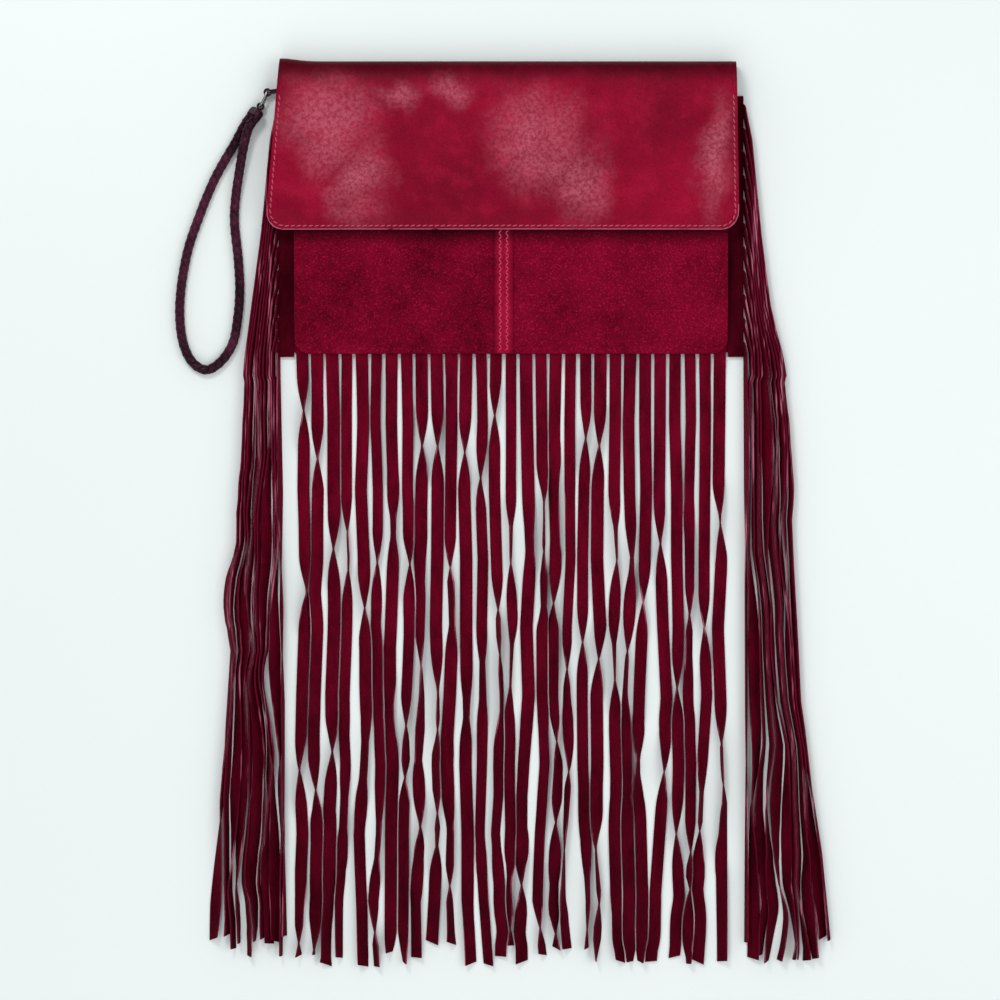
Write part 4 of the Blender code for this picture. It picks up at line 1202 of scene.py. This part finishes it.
def front_turns(chance, on_edge, length):
    """How one strip turns about its length: (distance below the seam, angle) keys."""
    angle = chance.uniform(-FRONT_FIRST_TURN, FRONT_FIRST_TURN)
    keys = [(0.0, 0.0), (FRONT_FIRST_TURN_LENGTH, angle)]
    for place in on_edge:
        keys.append((place - HALF_TURN_LENGTH / 2, angle))
        angle += chance.choice((-1, 1)) * math.pi
        keys.append((place + HALF_TURN_LENGTH / 2, angle))
    while keys[-1][0] < length:
        is_flat = abs(math.cos(angle)) > abs(math.sin(angle))
        hold = chance.uniform(*(FRONT_FLAT_HOLD if is_flat else FRONT_EDGE_HOLD))
        keys.append((keys[-1][0] + hold, angle + chance.uniform(-FRONT_WAVER, FRONT_WAVER)))
        quarters = chance.choice(FRONT_QUARTER_TURNS)
        angle += quarters * chance.choice((-1, 1)) * math.pi / 2
        keys.append((keys[-1][0] + HALF_TURN_LENGTH / 2 * max(FRONT_LEAST_QUARTER, quarters), angle))
    return keys


def front_drift(chance, length):
    """How one strip wanders sideways: (distance below the seam, offset) keys."""
    keys = [(0.0, 0.0)]
    offset = 0.0
    for step in range(1, FRONT_DRIFT_STEPS + 1):
        share = step / FRONT_DRIFT_STEPS
        step_size = FRONT_DRIFT * (FRONT_DRIFT_AT_SEAM + share)
        offset = FRONT_DRIFT_MEMORY * offset + chance.uniform(-1, 1) * step_size
        keys.append((share * length, offset))
    return keys


def spread_apart(places, reaches, low_limit, high_limit):
    """Moves strips along one row just far enough that no two of them meet."""
    places = list(places)
    for _ in range(SPREAD_SWEEPS):
        for index in range(len(places) - 1):
            room = reaches[index] + reaches[index + 1] + STRIP_CLEARANCE
            short = room - (places[index + 1] - places[index])
            if short > 0:
                places[index] -= short / 2
                places[index + 1] += short / 2
        places[0] = max(places[0], low_limit + reaches[0])
        places[-1] = min(places[-1], high_limit - reaches[-1])
    for index in range(1, len(places)):
        room = reaches[index - 1] + reaches[index] + STRIP_CLEARANCE
        places[index] = max(places[index], places[index - 1] + room)
    return places


def front_layout(rows):
    """The front fringe: the roots, and every strip's (centre, angle, width) at each row with its tip."""
    chance = random.Random(7)
    pitch = 2 * FRONT_HALF_WIDTH / FRONT_STRIPS
    roots = [-FRONT_HALF_WIDTH + (index + 0.5) * pitch for index in range(FRONT_STRIPS)]
    length = BOTTOM_Y - FRONT_TIP_Y + FRONT_TIP_SPREAD + STRIP_CLEARANCE
    turns = [front_turns(chance, FRONT_ON_EDGE.get(index + 1, ()), length) for index in range(FRONT_STRIPS)]
    drifts = [front_drift(chance, length) for root in roots]
    widths = [chance.uniform(*FRONT_STRIP_WIDTH) for root in roots]
    tips = [FRONT_TIP_Y + chance.uniform(-1, 1) * FRONT_TIP_SPREAD for root in roots]
    slants = [chance.uniform(-1, 1) * TIP_SLANT for root in roots]
    header_height = SUEDE + CLEARANCE + STRIP_THICKNESS / 2
    strips = [[] for root in roots]
    for row in range(rows + 1):
        below = row / rows * length
        tilts = [keyed(turn, below) for turn in turns]
        reaches = [reach_along(0.0, tilt, width) for tilt, width in zip(tilts, widths)]
        wanted = [root + keyed(drift, below) for root, drift in zip(roots, drifts)]
        places = spread_apart(wanted, reaches, -FRONT_HALF_WIDTH, FRONT_HALF_WIDTH) if row else roots
        settled = smooth(below / FRONT_DROP_LENGTH)
        for strip, place, tilt, width in zip(strips, places, tilts, widths):
            z = mix(header_height, lying_height(tilt, width), settled)
            strip.append((Vector((place, BOTTOM_Y - below, z)), tilt, width))
    return roots, strips, tips, slants, header_height


def strip_ring(centre, heading, tilt, width, cup):
    """A strip's cross-section with a slight cup: five points under it and five over it."""
    level = Vector((math.sin(heading), -math.cos(heading), 0.0))
    across = level * math.cos(tilt) + Vector((0, 0, math.sin(tilt)))
    through = Vector((0, 0, math.cos(tilt))) - level * math.sin(tilt)
    under = []
    over = []
    for share in CUP_SHARES:
        middle = centre + across * (share * width / 2) + through * (cup * (0.5 - share * share))
        under.append(middle - through * (STRIP_THICKNESS / 2))
        over.append(middle + through * (STRIP_THICKNESS / 2))
    return under + over[::-1]


def fringe_piece(name, header, strips, look):
    """A sheet cut into strips, its broad faces napped and its cut edges pale."""
    mesh = bmesh.new()
    for back, strip in zip(header, strips):
        rings = [[mesh.verts.new(point) for point in ring] for ring in [back] + strip]
        for index, face in join_rings(mesh, rings):
            face.material_index = 1 if index in CUT_SIDES else 0
        for ring in (rings[0], rings[-1]):
            mesh.faces.new(ring).material_index = 1
    return new_piece(name, mesh, (look.fringe, look.edge))


def make_front_fringe(look):
    """The 29 strips that hang from the bottom seam, with the sheet's uncut part under the front."""
    roots, strips, tips, slants, header_height = front_layout(FRONT_ROWS)
    down = -math.pi / 2
    cut = []
    for strip, tip_y, slant in zip(strips, tips, slants):
        rings = []
        for centre, tilt, width in strip:
            cup = STRIP_CUP * smooth((BOTTOM_Y - centre.y) / FRONT_DROP_LENGTH)
            cup *= uneven(centre.x, centre.y, STRIP_CUP_LENGTH, tip_y)
            rings.append(strip_ring(centre, down, tilt, width, cup))
        cut.append(cut_short(rings, tip_y, slant))
    pitch = roots[1] - roots[0]
    back_y = BOTTOM_Y + FRONT_HEADER_DEPTH
    header = [strip_ring(Vector((root, back_y, header_height)), down, 0.0, pitch, 0.0) for root in roots]
    fringe = fringe_piece("front_fringe_skin", header, cut, look)
    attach(fringe, "pouch")
    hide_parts("front_fringe")


def side_turns(chance, start_below):
    """How a side strip leans: (distance below the top, angle) keys, more often broad side up lower down."""
    beside = (SIDE_STRIPS - 1) * SIDE_STRIP_PITCH
    keys = [(start_below, SIDE_TILT_AT_SEAM)]
    below = SIDE_TOP_Y - SIDE_TIP_Y - beside
    place = max(start_below + SIDE_STRIP_PITCH, beside * chance.uniform(*SIDE_FIRST_CHANGE))
    keys.append((place, SIDE_TILT_AT_SEAM))
    while place < beside + below:
        is_broad = chance.random() < mix(*SIDE_BROAD_CHANCE, (place - beside) / below)
        lean = chance.uniform(*(SIDE_BROAD_LEAN if is_broad else SIDE_EDGE_LEAN))
        lean = math.radians(180 - lean if chance.random() < SIDE_BACKWARD_CHANCE else lean)
        place += max(abs(lean - keys[-1][1]) / SIDE_TURN_RATE, chance.uniform(*SIDE_TURN_SPACING))
        keys.append((place, lean))
    return keys


def side_places(side, below, turns, gaps):
    """Where the strips lie out of the seam at one row, the innermost first, with the spare room shared."""
    lower = smooth(below / (SIDE_TOP_Y - SIDE_TIP_Y))
    inner = mix(SIDE_TURN_RADIUS, SIDE_INNER_TIP[side], lower)
    rooms = []
    for low, high in zip(turns, turns[1:]):
        nearby = [below + share * SIDE_ROW_REACH for share in (-1, -0.5, 0, 0.5, 1)]
        rooms.append(max(nested_room(keyed(low, at), keyed(high, at), SIDE_STRIP_WIDTH) for at in nearby))
    if rooms and below < SIDE_STRIPS * SIDE_STRIP_PITCH:
        rooms[0] += SIDE_LANE_STEP
    spare = keyed(SIDE_OUTLINE[side], below) - inner - sum(rooms)
    if spare > 0 and rooms:
        swings = [SIDE_GAP_SWING * math.sin(below / SIDE_GAP_LENGTH + gap) for gap in gaps[: len(rooms)]]
        weights = [(1 - SIDE_GAP_SWING + swing) ** SIDE_GAP_SHARPNESS for swing in swings]
        rooms = [room + spare * weight / sum(weights) for room, weight in zip(rooms, weights)]
    places = [inner]
    for room in rooms:
        places.append(places[-1] + room)
    return places


def side_layout(side, rows):
    """Each side strip's (distance out, y, angle) at the level rows, and its tip, the highest first."""
    chance = random.Random(11 if side == "left" else 12)
    starts = [index * SIDE_STRIP_PITCH for index in range(SIDE_STRIPS)]
    turns = [side_turns(chance, start) for start in starts]
    tips = [SIDE_TIP_Y + chance.uniform(-1, 1) * SIDE_TIP_SPREAD for start in starts]
    slants = [chance.uniform(-1, 1) * TIP_SLANT for start in starts]
    gaps = [chance.uniform(0, 2 * math.pi) for start in starts]
    top_y = SIDE_TOP_Y - SIDE_TURN_RADIUS
    full = top_y - SIDE_TIP_Y + SIDE_TIP_SPREAD + STRIP_CLEARANCE
    levels = starts + [mix(starts[-1], full, row / rows) for row in range(1, rows + 1)]
    strips = [[] for start in starts]
    for below in levels:
        active = [index for index in range(SIDE_STRIPS) if starts[index] <= below + STRIP_CLEARANCE]
        inside_out = active[::-1]
        places = side_places(side, below, [turns[index] for index in inside_out], gaps)
        for index, place in zip(inside_out, places):
            strips[index].append((place, top_y - below, keyed(turns[index], below)))
    return strips, tips, slants


def make_side_fringe(side, way, look):
    """Strips that leave the side seam, turn on edge and hang side by side, the highest one outermost."""
    edge = BACK_HALF_WIDTH + CLEARANCE
    header_height = SUEDE + CLEARANCE + STRIP_THICKNESS / 2
    outward = math.pi if way < 0 else 0.0
    strips, tips, slants = side_layout(side, SIDE_LOWER_ROWS)
    combed = []
    header = []
    for index, (strip, tip_y, slant) in enumerate(zip(strips, tips, slants)):
        root_y = SIDE_TOP_Y - index * SIDE_STRIP_PITCH
        rings = []
        for step in range(SIDE_TURN_SECTIONS):
            share = step / SIDE_TURN_SECTIONS
            turned = share * math.pi / 2
            out = edge + SIDE_TURN_RADIUS * math.sin(turned)
            y = root_y - SIDE_TURN_RADIUS * (1 - math.cos(turned))
            tilted = smooth(share / SIDE_TILTED_BY)
            tilt = SIDE_TILT_AT_SEAM * tilted
            z = mix(header_height, lying_height(tilt, SIDE_STRIP_WIDTH), tilted)
            heading = math.pi + turned if way < 0 else -turned
            rings.append(strip_ring(Vector((way * out, y, z)), heading, -way * tilt, SIDE_STRIP_WIDTH, 0.0))
        level = []
        for place, y, tilt in strip:
            centre = Vector((way * (edge + place), y, lying_height(tilt, SIDE_STRIP_WIDTH)))
            heading = 3 * math.pi / 2 if way < 0 else -math.pi / 2
            level.append(strip_ring(centre, heading, -way * tilt, SIDE_STRIP_WIDTH, 0.0))
        combed.append(rings + cut_short(level, tip_y, slant))
        back = Vector((way * (edge - SIDE_HEADER_DEPTH), root_y, header_height))
        header.append(strip_ring(back, outward, 0.0, SIDE_STRIP_PITCH * SIDE_ROOT_SHARE, 0.0))
        uncut = Vector((way * (edge + SIDE_MARGIN), root_y, header_height - CLEARANCE))
        header.append(strip_ring(back, outward, 0.0, SIDE_STRIP_PITCH, 0.0))
        combed.append([strip_ring(uncut, outward, 0.0, SIDE_STRIP_PITCH, 0.0)])
    fringe = fringe_piece(f"{side}_fringe_skin", header, combed, look)
    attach(fringe, "pouch")
    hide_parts(f"{side}_fringe")


# Wrist cord and metal
def smooth_route(points, spacing):
    """Evenly spaced points on one smooth curve through the given ones."""
    points = [Vector(point) for point in points]
    ends = [points[0] * 2 - points[1], *points, points[-1] * 2 - points[-2]]
    fine = []
    for before, start, end, after in zip(ends, ends[1:], ends[2:], ends[3:]):
        for step in range(CORD_CURVE_STEPS):
            t = step / CORD_CURVE_STEPS
            bend = 2 * before - 5 * start + 4 * end - after
            twist = 3 * start - before - 3 * end + after
            fine.append(0.5 * (2 * start + (end - before) * t + bend * t**2 + twist * t**3))
    fine.append(points[-1])
    length = sum((b - a).length for a, b in zip(fine, fine[1:]))
    count = max(2, round(length / spacing))
    wanted = [length * index / count for index in range(count + 1)]
    even = []
    travelled = 0.0
    for a, b in zip(fine, fine[1:]):
        step = (b - a).length
        while len(even) < count and travelled + step >= wanted[len(even)]:
            even.append(a.lerp(b, (wanted[len(even)] - travelled) / step))
        travelled += step
    even.append(fine[-1])
    return even, length


def route_frames(route):
    """(point, tangent, side, up) along a route, without twist."""
    frames = []
    side = None
    for index, point in enumerate(route):
        ahead = route[min(index + 1, len(route) - 1)]
        behind = route[max(index - 1, 0)]
        tangent = (ahead - behind).normalized()
        guess = side if side is not None else Vector((0, 0, 1)).cross(tangent)
        side = (guess - tangent * guess.dot(tangent)).normalized()
        frames.append((point, tangent, side, tangent.cross(side)))
    return frames


def make_cord(look):
    """A round braid of flat leather strands, half of them winding each way, over and under."""
    route, length = smooth_route(CORD_ROUTE, CORD_RING_SPACING)
    frames = route_frames(route)
    middle_radius = CORD_DIAMETER / 2 - CORD_STRAND_THICKNESS
    lean = 2 * math.pi * middle_radius / CORD_BRAID_LENGTH
    half_strands = CORD_STRANDS // 2
    step_length = length / (len(route) - 1)
    braid = bmesh.new()
    for strand in range(CORD_STRANDS):
        way = 1 if strand < half_strands else -1
        start = 2 * math.pi * (strand % half_strands) / half_strands
        rings = []
        for index, (point, tangent, side, up) in enumerate(frames):
            turn = start + way * 2 * math.pi * index * step_length / CORD_BRAID_LENGTH
            weave = math.cos(half_strands * turn + (0 if way > 0 else math.pi))
            outward = side * math.cos(turn) + up * math.sin(turn)
            around = up * math.cos(turn) - side * math.sin(turn)
            along = (tangent + around * way * lean).normalized()
            across = along.cross(outward).normalized()
            centre = point + outward * (middle_radius + weave * CORD_STRAND_THICKNESS * CORD_WEAVE)
            ring = []
            for place, rise in CORD_STRAND_SECTION:
                aside = across * (place * CORD_STRAND_WIDTH / 2)
                ring.append(braid.verts.new(centre + aside + outward * (rise * CORD_STRAND_THICKNESS)))
            rings.append(ring)
        join_rings(braid, rings)
        braid.faces.new(rings[0])
        braid.faces.new(rings[-1])
    cord = new_piece("wrist_cord_braid", braid, (look.braid,))
    inside = bmesh.new()
    radius = middle_radius - CORD_STRAND_THICKNESS * CORD_CORE_SINK
    rings = []
    for point, tangent, side, up in frames[::4] + [frames[-1]]:
        rings.append(circle(inside, point, side, up, radius, CORD_CORE_CORNERS))
    join_rings(inside, rings)
    inside.faces.new(rings[0])
    inside.faces.new(rings[-1])
    core = new_piece("wrist_cord_core", inside, (look.braid,))
    deselect()
    core.select_set(True)
    cord.select_set(True)
    bpy.context.view_layer.objects.active = cord
    bpy.ops.object.join()
    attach(cord, "strap")
    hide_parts("wrist_cord")


def make_link(look):
    """A rounded rectangle of round wire on edge through the tab's eye."""
    near = Vector((*TAB_EYE, LINK_FLOOR_GAP + LINK_HEIGHT / 2))
    way = Vector((math.cos(LINK_HEADING), math.sin(LINK_HEADING), 0.0))
    up = Vector((0, 0, 1))
    half_height = (LINK_HEIGHT - LINK_WIRE) / 2
    corners = ((0.0, -1, 1, 1), (LINK_LENGTH, -1, -1, 1), (LINK_LENGTH, 1, -1, -1), (0.0, 1, 1, -1))
    side = way.cross(up)
    mesh = bmesh.new()
    rings = []
    for number, (along, rise, turn_x, turn_z) in enumerate(corners):
        for step in range(LINK_BEND_STEPS + 1):
            turn = math.pi + (number + step / LINK_BEND_STEPS) * math.pi / 2
            outward = way * math.cos(turn) + up * math.sin(turn)
            middle = near + way * (along + turn_x * LINK_CORNER)
            middle += up * (rise * half_height + turn_z * LINK_CORNER) + outward * LINK_CORNER
            rings.append(circle(mesh, middle, outward, side, LINK_WIRE / 2, LINK_WIRE_CORNERS))
    join_rings(mesh, rings, closed=True)
    link_piece = new_piece("link_wire", mesh, (look.nickel,))
    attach(link_piece, "strap")
    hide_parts("ring_link")


# Stage
def make_floor():
    """A pale floor, a little uneven in tone."""
    deselect()
    bpy.ops.mesh.primitive_plane_add(size=8, location=(0, 0, 0))
    floor = bpy.context.object
    floor.name = "floor"
    made, tree, shader = new_material("pale floor", roughness=0.35)
    cloud = noise_node(tree, 3, 2, object_place(tree))
    ramp = ramp_node(tree, cloud, (0.3, (0.84, 0.895, 0.89)), (0.7, (0.85, 0.905, 0.90)))
    tree.links.new(ramp, shader.inputs["Base Color"])
    floor.data.materials.append(made)


def make_lamps():
    """Round soft lamps: (name, place, target, size, power)."""
    lamps = (
        ("key_lamp", (-0.45, 0.80, 1.4), (0.0, 0.03, 0.0), 0.45, 8),
        ("fill_lamp", (0.9, -0.2, 1.5), (0.0, -0.15, 0.0), 1.2, 6),
        ("low_lamp", (-0.3, -1.4, 1.4), (0.0, -0.25, 0.0), 1.2, 6),
    )
    for name, place, target, size, power in lamps:
        data = bpy.data.lights.new(name, "AREA")
        data.shape = "DISK"
        data.size = size
        data.energy = power
        lamp = bpy.data.objects.new(name, data)
        lamp.location = place
        lamp.rotation_euler = (Vector(target) - Vector(place)).to_track_quat("-Z", "Y").to_euler()
        bpy.context.scene.collection.objects.link(lamp)


def make_room():
    """An even pale room. Mirror rays see it darker, so that dark leather isn't veiled."""
    world = bpy.data.worlds.new("soft room")
    world.use_nodes = True
    tree = world.node_tree
    back = tree.nodes["Background"]
    back.inputs["Color"].default_value = (0.95, 0.98, 0.98, 1)
    rays = tree.nodes.new("ShaderNodeLightPath")
    mirror = math_node(tree, "MAXIMUM", rays.outputs["Is Glossy Ray"], rays.outputs["Is Transmission Ray"])
    strength = level_node(tree, mirror, (0.0, 1.0), (ROOM_LIGHT, ROOM_MIRROR_LIGHT))
    tree.links.new(strength, back.inputs["Strength"])
    bpy.context.scene.world = world


def make_camera():
    """Looks straight down, at the scale and place that the bag has in the picture."""
    middle_x = (PICTURE / 2 - PIXEL_OF_MIDDLE[0]) * METRES_PER_PIXEL
    middle_y = (PIXEL_OF_MIDDLE[1] - PICTURE / 2) * METRES_PER_PIXEL
    data = bpy.data.cameras.new("camera")
    data.sensor_width = SENSOR
    data.lens = SENSOR * CAMERA_HEIGHT / (PICTURE * METRES_PER_PIXEL)
    camera = bpy.data.objects.new("camera", data)
    camera.location = (middle_x, middle_y, CAMERA_HEIGHT)
    bpy.context.scene.collection.objects.link(camera)
    bpy.context.scene.camera = camera


def colour_setting(name, what, default):
    """A colour that the panel shows."""
    return bpy.props.FloatVectorProperty(name=name, description=what, subtype="COLOR", default=default)


class ClutchColours(bpy.types.PropertyGroup):
    suede: colour_setting("Suede", "Colour of the napped suede", (0.230, 0.0012, 0.022))
    leather: colour_setting("Leather", "Colour of the smooth flap", (0.350, 0.0020, 0.030))
    cut_edge: colour_setting("Cut edge", "Colour of the knife-cut edges", (0.46, 0.12, 0.19))
    thread: colour_setting("Thread", "Colour of the stitches", (0.62, 0.085, 0.16))
    braid: colour_setting("Braid", "Colour of the wrist cord", (0.080, 0.008, 0.034))
    lining: colour_setting("Lining", "Colour of the lining cloth", (0.060, 0.008, 0.014))


class CLUTCH_OT_flap(bpy.types.Operator):
    """Make the leather flap, its fold and its row of stitches"""

    bl_idname = "clutch.flap"
    bl_label = "Flap"

    def execute(self, context):
        look = finishes()
        make_flap_skin(look)
        make_fold_skin(look)
        make_flap_stitches(look)
        return {"FINISHED"}


class CLUTCH_OT_front(bpy.types.Operator):
    """Make the suede front and its raised seam with zigzag stitches"""

    bl_idname = "clutch.front"
    bl_label = "Front"

    def execute(self, context):
        look = finishes()
        make_front_skins(look)
        make_seam(look)
        return {"FINISHED"}


class CLUTCH_OT_fringes(bpy.types.Operator):
    """Make the front fringe and both side fringes"""

    bl_idname = "clutch.fringes"
    bl_label = "Fringes"

    def execute(self, context):
        look = finishes()
        make_front_fringe(look)
        make_side_fringe("left", -1, look)
        make_side_fringe("right", 1, look)
        return {"FINISHED"}


class CLUTCH_OT_cord(bpy.types.Operator):
    """Make the braided wrist cord and its metal link"""

    bl_idname = "clutch.cord"
    bl_label = "Wrist cord"

    def execute(self, context):
        look = finishes()
        make_cord(look)
        make_link(look)
        return {"FINISHED"}


class CLUTCH_OT_inside(bpy.types.Operator):
    """Finish the back, gussets, linings, snap and leather holders"""

    bl_idname = "clutch.inside"
    bl_label = "Back and inside"

    def execute(self, context):
        look = finishes()
        for nodes, finish in (
            (SUEDE_NODES, look.suede),
            (LINING_NODES, look.lining),
            (SNAP_NODES, look.nickel),
            (HOLDER_NODES, look.braid),
        ):
            for node in nodes:
                dress(node, finish)
        return {"FINISHED"}


class CLUTCH_OT_stage(bpy.types.Operator):
    """Make the pale floor, the soft lamps and the camera that looks down"""

    bl_idname = "clutch.stage"
    bl_label = "Stage"

    def execute(self, context):
        make_camera()
        make_floor()
        make_lamps()
        make_room()
        context.scene.view_settings.view_transform = "Standard"
        return {"FINISHED"}


class CLUTCH_PT_panel(bpy.types.Panel):
    """Lists the steps that build the clutch, and its colours"""

    bl_idname = "CLUTCH_PT_panel"
    bl_label = "Fringed Clutch"
    bl_space_type = "VIEW_3D"
    bl_region_type = "UI"
    bl_category = "Clutch"

    def draw(self, context):
        for step in STEPS:
            self.layout.operator(step.bl_idname)
        for name in ClutchColours.__annotations__:
            self.layout.prop(context.scene.clutch_colours, name)


STEPS = (
    CLUTCH_OT_stage,
    CLUTCH_OT_cord,
    CLUTCH_OT_flap,
    CLUTCH_OT_front,
    CLUTCH_OT_fringes,
    CLUTCH_OT_inside,
)
CLASSES = (ClutchColours, *STEPS, CLUTCH_PT_panel)


def register():
    for kind in CLASSES:
        bpy.utils.register_class(kind)
    bpy.types.Scene.clutch_colours = bpy.props.PointerProperty(type=ClutchColours)


def unregister():
    del bpy.types.Scene.clutch_colours
    for kind in reversed(CLASSES):
        bpy.utils.unregister_class(kind)


def main():
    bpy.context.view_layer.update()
    register()
    for step in STEPS:
        group, name = step.bl_idname.split(".")
        getattr(getattr(bpy.ops, group), name)()


if __name__ == "__main__":
    main()
